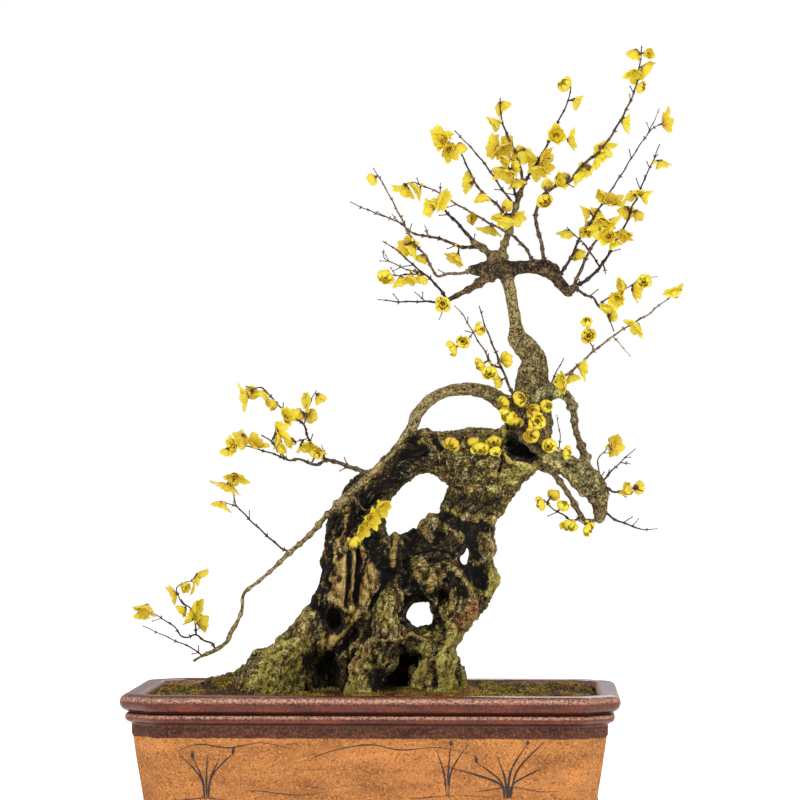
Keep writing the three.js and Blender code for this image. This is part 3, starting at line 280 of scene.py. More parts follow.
# The twigs of each spray: radius at each end and route.
TWIGS = {
    "crown_tall": (
        (3.6, 1.1, (
            (214, -2, 686), (208, -8, 719), (202, -14, 744), (208, -22, 769), (226, -28, 784),
            (246, -32, 792), (258, -36, 808), (277, -40, 823), (292, -44, 840), (307, -50, 864),
            (315, -54, 879), (325, -58, 902), (330, -62, 928), (333, -66, 952),
        )),
    ),
    "crown_straight": (
        (2.4, 0.9, ((180, 26, 762), (164, 17, 778), (142, 7, 810), (122, -2, 834), (102, -10, 854))),
    ),
    "crown_top": (
        (3, 1, (
            (187, 32, 790), (182, 38, 814), (176, 42, 833), (167, 46, 852), (160, 50, 871),
            (157, 52, 886), (157, 54, 901),
        )),
        (1.6, 1, ((175, 42, 838), (164, 40, 838), (155, 38, 840))),
        (2.6, 0.9, (
            (187, 32, 792), (199, 36, 812), (212, 34, 833), (222, 30, 853), (233, 26, 875),
            (243, 22, 896), (246, 20, 914),
        )),
        (1.4, 0.9, ((221, 30, 851), (233, 26, 848), (243, 23, 848))),
    ),
    "crown_cluster": (
        (2.6, 1.4, ((179, 22, 770), (174, 10, 786), (171, 4, 800), (166, 0, 816))),
    ),
    "crown_low_cluster": (
        (2.4, 1.4, ((174, 18, 752), (170, 8, 752), (166, -4, 751), (160, -10, 752))),
    ),
    "crown_upper_left": (
        (2.8, 1, (
            (171, 14, 736), (157, 8, 760), (146, 3, 770), (133, -3, 781), (122, -8, 799),
            (110, -14, 824), (98, -18, 836), (87, -20, 844),
        )),
    ),
    "crown_left_fork": (
        (3.2, 1.5, ((126, -20, 714), (108, -34, 735), (91, -42, 752), (86, -44, 759))),
    ),
    "crown_back_left": (
        (2.8, 0.9, (
            (200, 4, 690), (189, 16, 710), (173, 28, 726), (157, 36, 736), (142, 42, 744),
            (119, 51, 758), (99, 59, 770), (80, 65, 783), (65, 69, 790), (47, 72, 797), (35, 74, 795),
        )),
        (1.2, 0.6, ((80, 65, 782), (81, 64, 794))),
    ),
    "left_far": (
        (3.2, 0.7, (
            (132, -14, 709), (119, -9, 710), (106, -4, 711), (89, 4, 719), (67, 12, 725), (53, 16, 727),
            (41, 22, 734), (29, 27, 744), (12, 33, 751), (-10, 41, 760), (-32, 47, 770),
        )),
        (1.8, 0.6, ((67, 12, 725), (63, 8, 737))),
        (1.1, 0.6, ((29, 27, 744), (22, 22, 752))),
    ),
    "left_high": (
        (2.8, 0.9, (
            (124, -6, 681), (107, -12, 677), (91, -18, 676), (78, -22, 674), (67, -28, 695),
            (57, -32, 707), (50, -36, 717), (42, -40, 730), (35, -44, 745), (28, -46, 758),
            (20, -48, 774), (9, -52, 793), (2, -54, 804),
        )),
    ),
    "left_low": (
        (2.6, 0.8, (
            (92, -30, 643), (83, -38, 656), (75, -43, 665), (66, -47, 673), (53, -53, 683),
            (39, -59, 696), (27, -65, 706), (15, -69, 713),
        )),
        (1.4, 0.7, ((66, -47, 673), (48, -51, 678), (33, -57, 684), (16, -61, 693), (14, -62, 702))),
        (1.4, 0.8, ((62, -48, 675), (43, -45, 674), (28, -46, 673), (16, -47, 678))),
        (2.6, 0.7, ((92, -30, 643), (78, -33, 640), (65, -33, 641), (30, -29, 641), (7, -26, 644))),
        (1.3, 0.6, ((88, -31, 642), (86, -33, 630), (83, -35, 620))),
        (1.2, 0.7, ((65, -33, 641), (53, -37, 652))),
    ),
    "right_back": (
        (3, 0.8, (
            (230, 0, 671), (238, 8, 685), (245, 14, 695), (253, 22, 713), (258, 26, 724), (270, 34, 742),
            (279, 40, 757), (288, 46, 771), (297, 50, 785), (312, 56, 808), (328, 60, 834),
            (346, 64, 860), (359, 66, 870),
        )),
        (1, 0.5, ((343, 63, 856), (352, 66, 874), (358, 68, 888))),
    ),
    "right_outer": (
        (3.2, 0.9, (
            (250, -5, 661), (266, -4, 669), (278, -6, 680), (285, -8, 689), (291, -10, 697),
            (297, -12, 709), (307, -14, 725), (316, -15, 741), (322, -16, 759), (329, -16, 772),
            (338, -14, 795), (348, -11, 816), (356, -8, 836),
        )),
        (1.7, 0.9, ((282, -7, 685), (269, 2, 705), (258, 6, 719), (242, 9, 734))),
        (1.6, 0.8, ((286, -8, 689), (289, -3, 678))),
        (3.4, 1.5, (
            (250, -5, 662), (255, -9, 674), (261, -14, 687), (269, -22, 705), (277, -28, 716),
            (284, -34, 728), (291, -38, 737),
        )),
        (1.8, 1.1, ((279, -30, 719), (290, -33, 719), (299, -35, 720))),
    ),
    "right_low": (
        (2.8, 1, (
            (249, -6, 658), (256, -12, 655), (265, -18, 649), (274, -24, 645), (281, -28, 634),
            (290, -32, 627), (294, -34, 617), (298, -36, 605),
        )),
        (1.8, 0.6, (
            (280, -28, 636), (292, -33, 645), (302, -37, 651), (313, -41, 656), (334, -49, 668),
            (350, -52, 670),
        )),
    ),
    "right_far": (
        (2.8, 0.8, (
            (206, -8, 536), (223, -14, 539), (235, -18, 547), (246, -22, 554), (259, -28, 565),
            (275, -36, 580), (290, -44, 591), (297, -48, 597), (316, -54, 609), (340, -62, 623),
            (356, -68, 636), (370, -72, 646),
        )),
        (1, 0.5, ((297, -48, 597), (307, -50, 586), (318, -52, 573))),
        (1.2, 0.8, ((275, -36, 580), (268, -38, 594), (265, -40, 613))),
        (1.5, 0.8, ((221, -13, 539), (229, -19, 556), (236, -23, 569))),
    ),
    "arm_upper": (
        (2.4, 0.7, ((275, -6, 412), (287, -12, 420), (297, -16, 431), (307, -20, 441), (324, -26, 457))),
        (1.5, 0.8, ((284, -11, 418), (279, -6, 442), (288, -4, 455), (296, -2, 464))),
        (1.2, 0.6, ((307, -20, 441), (318, -17, 439))),
    ),
    "arm_outer": (
        (2.8, 1, ((276, -5, 404), (289, -10, 409), (300, -14, 404), (322, -20, 409), (333, -22, 406))),
    ),
    "arm_lower": (
        (2.8, 0.6, (
            (281, -2, 376), (290, -6, 377), (300, -10, 370), (324, -18, 361), (337, -20, 357),
            (351, -22, 359),
        )),
        (1.1, 0.6, ((322, -17, 362), (329, -20, 370))),
    ),
    "arm_under": (
        (2.2, 0.9, ((260, -26, 373), (246, -32, 369), (236, -34, 376), (221, -38, 385), (213, -40, 394))),
        (1.5, 1, ((255, -30, 370), (264, -32, 363))),
    ),
    "front_tall": (
        (3.6, 0.9, (
            (187, -39, 474), (186, -46, 496), (181, -48, 510), (174, -50, 524), (167, -50, 541),
            (159, -50, 560), (152, -50, 579), (145, -50, 596), (137, -48, 617), (133, -46, 633),
        )),
        (1.9, 0.7, (
            (160, -50, 558), (148, -54, 562), (140, -56, 577), (128, -56, 596), (113, -54, 622),
            (103, -52, 634),
        )),
        (1, 0.7, ((125, -56, 602), (117, -58, 591), (105, -60, 584))),
        (1.6, 1.2, ((183, -48, 504), (173, -54, 501))),
    ),
    "front_knob": (
        (2.6, 1.3, ((203, -44, 457), (202, -52, 470), (204, -54, 485), (208, -52, 500), (213, -48, 512))),
        (1.7, 1.1, ((203, -53, 476), (213, -46, 472), (223, -42, 464), (234, -38, 455))),
        (1.1, 0.6, ((231, -39, 457), (232, -32, 476), (228, -27, 498))),
    ),
    "trunk_top": (
        (2.2, 1.1, ((163, -36, 472), (148, -50, 474), (129, -53, 475), (111, -50, 475), (101, -50, 470))),
    ),
    "left_spray": (
        (4.2, 1.1, (
            (-2, -26, 425), (-20, -24, 432), (-34, -25, 437), (-46, -26, 441), (-58, -30, 444),
            (-69, -34, 438), (-81, -38, 441), (-93, -42, 445), (-105, -46, 444), (-114, -48, 452),
            (-125, -50, 466), (-136, -50, 474),
        )),
        (1.7, 0.8, (
            (-105, -46, 444), (-119, -50, 450), (-137, -54, 456), (-154, -58, 461), (-174, -61, 469),
        )),
        (1.2, 0.9, ((-166, -60, 466), (-177, -60, 458))),
        (2.2, 0.9, (
            (-61, -31, 444), (-70, -26, 455), (-81, -22, 470), (-87, -20, 487), (-98, -20, 496),
            (-111, -20, 505), (-127, -22, 521), (-139, -24, 534), (-151, -26, 531), (-160, -28, 525),
        )),
        (1.5, 0.8, ((-87, -20, 488), (-84, -14, 504), (-81, -10, 516), (-73, -6, 529))),
        (1.6, 0.6, ((-60, -30, 444), (-64, -28, 461))),
        (1.2, 0.7, ((-82, -22, 471), (-98, -30, 466))),
    ),
    "trunk_front": (
        (2.6, 0.9, ((-27, -28, 403), (-25, -38, 399), (-17, -46, 390), (-6, -52, 381), (13, -50, 396))),
        (1.6, 0.8, ((-6, -52, 381), (-14, -56, 368), (-24, -58, 355), (-35, -57, 342), (-45, -54, 333))),
    ),
    "left_hanging": (
        (1.9, 0.9, (
            (-104, -33, 330), (-115, -34, 335), (-132, -38, 350), (-149, -43, 366), (-166, -48, 384),
            (-171, -50, 392), (-173, -52, 406), (-174, -52, 417),
        )),
        (1.2, 0.8, ((-167, -48, 385), (-175, -50, 389), (-184, -52, 391))),
    ),
    "left_tip": (
        (1.9, 0.8, (
            (-194, -61, 210), (-198, -64, 217), (-207, -66, 221), (-217, -68, 228), (-228, -70, 225),
            (-236, -72, 228), (-241, -73, 235), (-248, -74, 242), (-258, -76, 248), (-269, -78, 255),
            (-279, -80, 260),
        )),
        (1.6, 0.8, (
            (-217, -68, 228), (-219, -70, 246), (-223, -72, 260), (-233, -74, 267), (-238, -75, 276),
            (-241, -76, 286), (-232, -75, 292), (-219, -73, 296),
        )),
    ),
    "left_trailing": (
        (1.5, 0.6, (
            (-211, -64, 203), (-222, -62, 211), (-243, -60, 220), (-265, -60, 230), (-283, -62, 238),
        )),
    ),
}

# The blooms of each spray: the centre of each mouth, numbered in the order of this table. A bloom
# grows from the nearest point of its spray's twigs.
BLOOMS = {
    "crown_tall": (
        (214, -31, 765), (216, -22, 783), (230, -38, 792), (240, -22, 798), (256, -42, 794),
        (268, -28, 803), (282, -50, 812), (284, -34, 830), (317, -58, 858), (335, -64, 902),
        (323, -68, 920), (341, -60, 926), (343, -74, 943), (324, -62, 945),
    ),
    "crown_straight": (),
    "crown_top": (
        (159, 64, 894), (147, 45, 869), (166, 56, 846), (146, 52, 838), (160, 30, 834), (190, 50, 834),
        (238, 14, 916), (257, 16, 893), (216, 23, 822), (205, 46, 812), (207, 12, 808), (228, 20, 852),
        (249, 18, 845),
    ),
    "crown_cluster": ((164, -16, 820), (180, 4, 812), (166, -8, 800), (181, 0, 790), (156, 14, 806)),
    "crown_low_cluster": ((166, -14, 763), (179, 0, 745), (153, -16, 745), (167, -28, 739)),
    "crown_upper_left": (
        (78, -22, 850), (84, -38, 839), (96, -20, 832), (111, -34, 834), (116, 2, 791), (134, -14, 769),
    ),
    "crown_left_fork": ((76, -50, 766), (68, -34, 757), (87, -64, 770)),
    "crown_back_left": ((36, 78, 782), (50, 60, 784), (117, 44, 747), (142, 36, 730)),
    "left_far": ((101, -11, 692),),
    "left_high": ((-4, -50, 790), (38, -32, 708), (47, -48, 701), (57, -22, 694)),
    "left_low": ((36, -48, 663), (48, -66, 665), (60, -50, 666), (16, -53, 669), (87, -41, 638)),
    "right_back": (
        (372, 67, 872), (262, 38, 758), (286, 38, 778), (298, 24, 770), (264, 20, 730), (257, 26, 703),
        (278, 52, 756), (272, 44, 738),
    ),
    "right_outer": (
        (320, -27, 775), (341, -25, 770), (333, -22, 748), (312, -6, 757), (363, -10, 811),
        (237, 4, 725), (302, -42, 739), (291, -43, 722), (301, -34, 708), (281, -50, 738),
        (311, -28, 724),
    ),
    "right_low": (
        (291, -42, 635), (301, -58, 641), (310, -45, 658), (298, -26, 624), (336, -57, 664),
        (328, -42, 652),
    ),
    "right_far": (
        (375, -78, 650), (325, -62, 608), (264, -48, 617), (268, -48, 598), (262, -34, 556),
        (247, -18, 548), (236, -32, 537),
    ),
    "arm_upper": ((299, -8, 469), (302, 8, 458)),
    "arm_outer": ((317, -25, 406), (329, -9, 410)),
    "arm_lower": (),
    "arm_under": ((237, -42, 390), (243, -38, 359), (270, -36, 357), (205, -43, 389), (226, -29, 403)),
    "front_tall": (
        (136, -64, 606), (130, -61, 559), (145, -70, 549), (152, -46, 540), (169, -45, 570),
        (95, -61, 580), (112, -64, 589), (160, -59, 514), (163, -68, 496), (175, -54, 487),
        (185, -57, 521),
    ),
    "front_knob": (
        (197, -62, 507), (216, -57, 510), (204, -72, 492), (196, -62, 475), (218, -58, 460),
        (244, -42, 453),
    ),
    "trunk_top": ((97, -59, 461), (134, -66, 454), (150, -54, 466), (153, -70, 452), (127, -50, 466)),
    "left_spray": (
        (-162, -35, 520), (-153, -19, 528), (-139, -33, 524), (-125, -40, 512), (-109, -32, 497),
        (-113, -46, 484), (-108, -28, 469), (-117, -52, 468), (-112, -66, 457), (-144, -62, 464),
        (-160, -55, 476), (-172, -69, 461), (-183, -56, 452), (-94, -11, 501), (-76, -7, 498),
        (-84, -19, 519), (-68, -3, 522), (-78, -33, 460), (-89, -14, 458), (-68, -52, 454),
    ),
    "trunk_front": ((14, -60, 384), (3, -68, 371), (-9, -66, 356), (-18, -60, 340)),
    "left_hanging": ((-168, -61, 424), (-182, -56, 410), (-193, -56, 387)),
    "left_tip": (
        (-286, -80, 252), (-276, -96, 262), (-212, -68, 243), (-224, -90, 249), (-231, -74, 262),
        (-213, -80, 260), (-229, -84, 287), (-247, -82, 277), (-208, -74, 302),
    ),
    "left_trailing": (),
}


def srgb(red, green, blue):
    """A colour on the 0 to 255 scale of a screen, as the shaders need it."""
    shares = [channel / 255 for channel in (red, green, blue)]
    return tuple(s / 12.92 if s <= 0.04045 else ((s + 0.055) / 1.055) ** 2.4 for s in shares)


def to_metres(points):
    """Places in millimetres from the pot's centre, in the frame's metres."""
    return (np.asarray(points, float) + POT_CENTRE) * MM


# Repeatable noise.
HASH_KEYS = np.array([0x9E3779B1, 0x85EBCA77, 0xC2B2AE3D], np.uint64)


def lattice(cells, seed):
    """A repeatable number from 0 to 1 for each cell of whole numbers."""
    keys = cells.astype(np.int64).astype(np.uint64) * HASH_KEYS
    mixed = keys[..., 0] ^ keys[..., 1] ^ keys[..., 2] ^ np.uint64(seed * 0x27D4EB2F + 1)
    mixed ^= mixed >> np.uint64(29)
    mixed *= np.uint64(0xBF58476D1CE4E5B9)
    mixed ^= mixed >> np.uint64(32)
    return (mixed & np.uint64(0xFFFFFF)) / float(0xFFFFFF)


def noise(points, seed=0):
    """Smooth noise from -1 to 1 with about one swell to a unit."""
    cell = np.floor(points)
    part = points - cell
    blend = part * part * part * (part * (part * 6 - 15) + 10)
    total = np.zeros(len(points))
    for corner in np.ndindex(2, 2, 2):
        weight = np.prod(np.where(corner, blend, 1 - blend), axis=1)
        total += weight * lattice(cell + corner, seed)
    return total * 2 - 1


def cell_gaps(points, seed=0):
    """The distances from each point to the two nearest of scattered seeds, one to each unit cell."""
    cell = np.floor(points)
    first = np.full(len(points), 9.0)
    second = first.copy()
    for offset in np.ndindex(3, 3, 3):
        corner = cell + np.array(offset) - 1
        scatter = np.stack([lattice(corner, seed + axis) for axis in range(3)], axis=1)
        gap = np.linalg.norm(points - corner - scatter, axis=1)
        second = np.minimum(second, np.maximum(first, gap))
        first = np.minimum(first, gap)
    return first, second


def draw(k):
    """A repeatable draw between 0 and 1."""
    wave = math.sin(k * 12.9898 + 78.233) * 43758.5453
    return wave - math.floor(wave)


def ease(value, low, high):
    """Runs smoothly from 0 at low to 1 at high."""
    share = np.clip((value - low) / (high - low), 0, 1)
    return share * share * (3 - 2 * share)


def hump(*gaps):
    """Falls smoothly from 1 to 0 as the gaps grow from 0 past 1."""
    return np.exp(-sum(gap**2 for gap in gaps))


# Meshes, gathered part by part. A part is its points and its arrays of faces.
class Pile:
    """The points, faces and finishes of one piece."""

    def __init__(self):
        self.points = []
        self.faces = []
        self.finishes = []
        self.marks = []
        self.shades = []
        self.count = 0

    def add(self, part, finish=0, mark=0.0, shade=0.5):
        """Adds a part with one finish, and a mark and a shade for each of its points."""
        points, face_groups = part
        for faces in face_groups:
            self.faces.append(np.asarray(faces) + self.count)
            self.finishes.append(np.full(len(faces), finish))
        self.points.append(points)
        self.marks.append(np.broadcast_to(mark, len(points)))
        self.shades.append(np.broadcast_to(shade, len(points)))
        self.count += len(points)

    def mesh(self, name):
        """The whole pile as one smooth mesh in metres."""
        points = to_metres(np.concatenate(self.points))
        faces = [face for group in self.faces for face in group.tolist()]
        mesh = bpy.data.meshes.new(name)
        mesh.from_pydata(points.tolist(), [], faces)
        mesh.polygons.foreach_set("material_index", np.concatenate(self.finishes).astype(np.int32))
        mesh.shade_smooth()
        store(mesh, "mark", np.concatenate(self.marks))
        store(mesh, "shade", np.concatenate(self.shades))
        return mesh


def store(mesh, name, values):
    """Keeps a number or a vector for each point of a mesh, for its material to read."""
    values = np.asarray(values, np.float32)
    kind, field = ("FLOAT_VECTOR", "vector") if values.ndim == 2 else ("FLOAT", "value")
    mesh.attributes.new(name, kind, "POINT").data.foreach_set(field, values.ravel())


def add_object(name, mesh):
    """A new object in the scene."""
    made = bpy.data.objects.new(name, mesh)
    bpy.context.scene.collection.objects.link(made)
    return made


def settle(name, mesh, materials, replaced=()):
    """A finished piece: it gets its materials, rides on the root body and stands for CAD nodes."""
    piece = add_object(name, mesh)
    for material in materials:
        mesh.materials.append(material)
    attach(piece, "root")
    if replaced:
        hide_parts(*replaced)
    return piece


def ring_faces(rings, sides):
    """The faces of a skin through rings, closed by one point at each end."""
    start = np.arange(rings - 1)[:, None] * sides
    here = np.arange(sides)[None, :]
    after = (here + 1) % sides
    quads = np.stack([start + here, start + after, start + after + sides, start + here + sides], axis=-1)
    tips = rings * sides
    last = (rings - 1) * sides
    low = np.stack([np.full(sides, tips), after[0], here[0]], axis=-1)
    high = np.stack([np.full(sides, tips + 1), last + here[0], last + after[0]], axis=-1)
    return [quads.reshape(-1, 4), low, high]


def sheet_faces(grid):
    """The faces of a sheet of numbered points, and the points round its edge in turn."""
    corners = [grid[:-1, :-1], grid[:-1, 1:], grid[1:, 1:], grid[1:, :-1]]
    edge = np.concatenate([grid[0, :-1], grid[:-1, -1], grid[-1, :0:-1], grid[:0:-1, 0]])
    return np.stack(corners, axis=-1).reshape(-1, 4), edge


def loft(rings, low_tip, high_tip):
    """A closed part through rings of points, from a low tip to a high one."""
    count, sides = rings.shape[:2]
    points = np.concatenate([rings.reshape(-1, 3), [low_tip], [high_tip]])
    return points, ring_faces(count, sides)


def smooth_run(stations, step):
    """A smooth run through the stations, at steps of about the given length."""
    stations = np.array(stations, float)
    padded = np.concatenate([stations[:1], stations, stations[-1:]])
    run = []
    for before, start, end, after in zip(padded, padded[1:], padded[2:], padded[3:]):
        count = max(1, round(np.linalg.norm(end[:3] - start[:3]) / step))
        t = (np.arange(count) / count)[:, None]
        run.append(
            start
            + 0.5 * t * (end - before)
            + 0.5 * t**2 * (2 * before - 5 * start + 4 * end - after)
            + 0.5 * t**3 * (3 * start - before - 3 * end + after)
        )
    return np.concatenate([*run, stations[-1:]])


def unit(vectors):
    """Vectors of length one."""
    return vectors / np.maximum(np.linalg.norm(vectors, axis=-1, keepdims=True), 1e-9)


def directions(points):
    """Along a route at each of its points, across it, and across it towards the back."""
    along = unit(np.gradient(points, axis=0))
    guide = np.array([0.0, 1.0, 0.0])
    if np.abs(along[:, 1]).max() > 0.9:
        guide = np.eye(3)[np.abs(along).max(axis=0).argmin()]
    depth = unit(guide - (along @ guide)[:, None] * along)
    return along, np.cross(depth, along), depth


def passed_along(points):
    """The length of a route passed at each of its points."""
    return np.concatenate([[0], np.cumsum(np.linalg.norm(np.diff(points, axis=0), axis=1))])


TIP_REACH = 0.55
TIP_NARROWING = 0.62


def tube(points, half_widths, half_depths, sides, swell=1.0):
    """A closed tube round a route, with rounded ends."""
    along, width, depth = directions(points)
    tip_run = TIP_REACH * half_widths[[0, -1]]
    points = np.concatenate([
        [points[0] - along[0] * tip_run[0]], points, [points[-1] + along[-1] * tip_run[1]],
    ])
    ends = [0, *range(len(along)), -1]
    along, width, depth = along[ends], width[ends], depth[ends]
    narrowing = np.array([TIP_NARROWING, *[1.0] * (len(ends) - 2), TIP_NARROWING])
    sizes = np.stack([half_widths, half_depths])[:, ends] * narrowing
    swell = np.broadcast_to(swell, (len(half_widths), sides))[ends]
    angles = 2 * np.pi * (np.arange(sides) + 0.5) / sides
    across = (np.cos(angles) * sizes[0][:, None] * swell)[:, :, None] * width[:, None]
    back = (np.sin(angles) * sizes[1][:, None] * swell)[:, :, None] * depth[:, None]
    low_tip = points[0] - along[0] * 0.4 * tip_run[0]
    high_tip = points[-1] + along[-1] * 0.4 * tip_run[1]
    return loft(points[:, None] + across + back, low_tip, high_tip)


def rod(points, radii, sides):
    """A closed round tube."""
    points = np.array(points, float)
    radii = np.broadcast_to(radii, len(points))
    return tube(points, radii, radii, sides)


def blob(centre, radii, seed, roughness, sides=20):
    """A rough closed lump."""
    polar = np.pi * (np.arange(sides // 2 - 1) + 1)[:, None] / (sides // 2)
    turn = 2 * np.pi * np.arange(sides)[None, :] / sides
    spokes = (np.cos(turn) * np.sin(polar), np.sin(turn) * np.sin(polar), -np.cos(polar))
    points, faces = loft(np.stack(np.broadcast_arrays(*spokes), axis=-1), (0, 0, -1), (0, 0, 1))
    points *= 1 + roughness * noise(points * 2.3 + seed * 7.7, seed)[:, None]
    return points * radii + centre, faces


# Materials, built up one shader node at a time.
class Finish:
    """A material with a principled shader and the nodes that feed it."""

    def __init__(self, name, roughness, **constants):
        self.material = bpy.data.materials.new(name)
        self.material.use_nodes = True
        self.tree = self.material.node_tree
        self.tree.nodes.clear()
        self.shader = self.node("ShaderNodeBsdfPrincipled")
        output = self.node("ShaderNodeOutputMaterial")
        self.tree.links.new(self.shader.outputs[0], output.inputs[0])
        self.feed(self.shader.inputs["Roughness"], roughness)
        for key, value in constants.items():
            self.shader.inputs[key.replace("_", " ")].default_value = value
        self.place = self.scaled(self.node("ShaderNodeTexCoord").outputs["Object"], (MM,) * 3)

    def feed(self, socket, value):
        """Links a socket to another node, or sets its value."""
        if isinstance(value, bpy.types.NodeSocket):
            self.tree.links.new(value, socket)
        elif getattr(socket, "type", "") == "RGBA":
            socket.default_value = (*value, 1.0)
        else:
            socket.default_value = value

    def node(self, kind, inputs=None, **settings):
        """A new node with its settings and inputs."""
        made = self.tree.nodes.new(kind)
        for key, value in settings.items():
            setattr(made, key, value)
        for key, value in (inputs or {}).items():
            self.feed(made.inputs[key], value)
        return made

    def colour(self, value):
        """Sets the colour of the surface."""
        self.feed(self.shader.inputs["Base Color"], value)

    def attribute(self, name, output="Fac"):
        """A value kept for each point of the mesh."""
        return self.node("ShaderNodeAttribute", attribute_name=name).outputs[output]

    def scaled(self, vector, sizes):
        """A place divided by the size of one swell along each axis."""
        shares = tuple(1 / size for size in sizes)
        return self.node("ShaderNodeVectorMath", {0: vector, 1: shares}, operation="MULTIPLY").outputs[0]

    def clouds(self, sizes, vector=None, detail=4.0, roughness=0.6, distortion=0.0):
        """Cloudy noise with swells of the given sizes in millimetres."""
        sizes = (sizes,) * 3 if isinstance(sizes, (int, float)) else sizes
        made = self.node("ShaderNodeTexNoise", {
            "Vector": self.scaled(self.place if vector is None else vector, sizes),
            "Scale": 1.0, "Detail": detail, "Roughness": roughness, "Distortion": distortion,
        })
        return made.outputs[0]

    def specks(self, size):
        """Distances inside scattered cells of the given size in millimetres."""
        vector = self.scaled(self.place, (size,) * 3)
        return self.node("ShaderNodeTexVoronoi", {"Vector": vector, "Scale": 1.0}).outputs["Distance"]

    def ramp(self, share, *stops):
        """A run of colours. A stop is its place and a colour, or its place and three screen values."""
        made = self.node("ShaderNodeValToRGB", {0: share})
        elements = made.color_ramp.elements
        while len(elements) < len(stops):
            elements.new(0.5)
        for element, (place, *colour) in zip(elements, stops):
            element.position = place
            element.color = (*(srgb(*colour) if len(colour) == 3 else colour[0]), 1.0)
        return made.outputs[0]

    def mix(self, share, one, other):
        """One colour where share is 0 and the other where it is 1."""
        made = self.node("ShaderNodeMix", data_type="RGBA")
        for socket, value in ((0, share), (6, one), (7, other)):
            self.feed(made.inputs[socket], value)
        return made.outputs[2]

    def math(self, operation, *values):
        """Values put together by one operation."""
        return self.node("ShaderNodeMath", dict(enumerate(values)), operation=operation).outputs[0]

    def sum(self, one, other):
        """Two values added."""
        return self.math("ADD", one, other)

    def times(self, one, other):
        """Two values multiplied."""
        return self.math("MULTIPLY", one, other)

    def gap(self, value, goal):
        """How far a value is from a goal, either way."""
        return self.math("ABSOLUTE", self.sum(value, -goal))

    def uneven(self, name, swell):
        """A value kept for each point, made uneven by a swell from 0 to 1."""
        return self.sum(self.attribute(name), self.sum(swell, -0.5))

    def step(self, value, low, high, start=0.0, end=1.0):
        """Runs smoothly from start at low to end at high."""
        inputs = {"Value": value, "From Min": low, "From Max": high, "To Min": start, "To Max": end}
        return self.node("ShaderNodeMapRange", inputs, interpolation_type="SMOOTHSTEP").outputs[0]

    def height(self):
        """The height of the surface in millimetres."""
        return self.node("ShaderNodeSeparateXYZ", {0: self.place}).outputs[2]

    def plain(self, share, stops, grain, depth):
        """The whole look of a plain material: one run of colours and one fine grain."""
        self.colour(self.ramp(share, *stops))
        self.relief((self.clouds(grain), depth))
        return self.material

    def relief(self, *layers):
        """Fine relief from pairs of a height and its depth in millimetres."""
        normal = None
        for value, depth in layers:
            made = self.node("ShaderNodeBump", {"Height": value, "Distance": depth * MM})
            if normal:
                self.feed(made.inputs["Normal"], normal)
            normal = made.outputs[0]
        self.feed(self.shader.inputs["Normal"], normal)


# The pot.
CORNER_CUT = 42
CORNER_SOFTNESS = 18
WALL_TOP_INSET = 27.5
WALL_BOTTOM_INSET = 44
FLOOR_TOP = 32
WALL_TOP = 150
FOOT_HEIGHT = 14
FOOT_LENGTH = 100
FOOT_WIDTH = 80
FOOT_SOFTNESS = 4
FOOT_PROFILE = ((37, 0), (35.4, 0.4), (34.4, 1.6), (32.4, 8), (31.4, 13), (31.4, 17))
DRAIN_RADIUS = 14
DRAIN_OFFSET = 130
PANEL_TOP = (16.5, 110)
PANEL_FOOT = (29.5, 27)

# Steps along a cut corner, a short side, the next cut corner and a long side of the pot.
SIDE_STEPS = (4, 20, 4, 34)


def raised(flat, height):
    """Flat points lifted to one height."""
    return np.column_stack([flat, np.full(len(flat), height)])


def pot_outline(inset):
    """Half the pot's length, half its width and the cut of its corners, all moved inwards."""
    return POT_LENGTH / 2 - inset, POT_WIDTH / 2 - inset, CORNER_CUT - (2 - math.sqrt(2)) * inset


def rounded(start, corner, end, count):
    """A corner rounded off between two points."""
    t = np.linspace(0, 1, count)[:, None]
    return (1 - t) ** 2 * start + 2 * t * (1 - t) * corner + t**2 * end


def pot_ring(inset, height):
    """The pot's outline at a height: a rectangle with softened cut corners, moved inwards."""
    x, y, cut = pot_outline(inset)
    reach = max(4, CORNER_SOFTNESS - 0.5 * inset) * math.tan(math.pi / 8) * 1.4
    corners = np.array([
        (x - cut, -y), (x, cut - y), (x, y - cut), (x - cut, y),
        (cut - x, y), (-x, y - cut), (-x, cut - y), (cut - x, -y),
    ])
    ring = []
    for k, corner in enumerate(corners):
        before = unit(corners[k - 1] - corner)
        after = unit(corners[(k + 1) % 8] - corner)
        end = corner + after * reach
        ring.extend(rounded(corner + before * reach, corner, end, 6))
        goal = corners[(k + 1) % 8] - after * reach
        share = np.linspace(0, 1, SIDE_STEPS[k % 4] + 2)[1:-1, None]
        ring.extend(end + share * (goal - end))
    return raised(np.array(ring), height)


def bead(inset, height, half_depth, half_height, low, high, count):
    """Part of a rounded bead in the pot's profile, from one angle to another in degrees."""
    angles = np.radians(np.linspace(low, high, count))
    return [(inset - half_depth * math.cos(a), height + half_height * math.sin(a)) for a in angles]


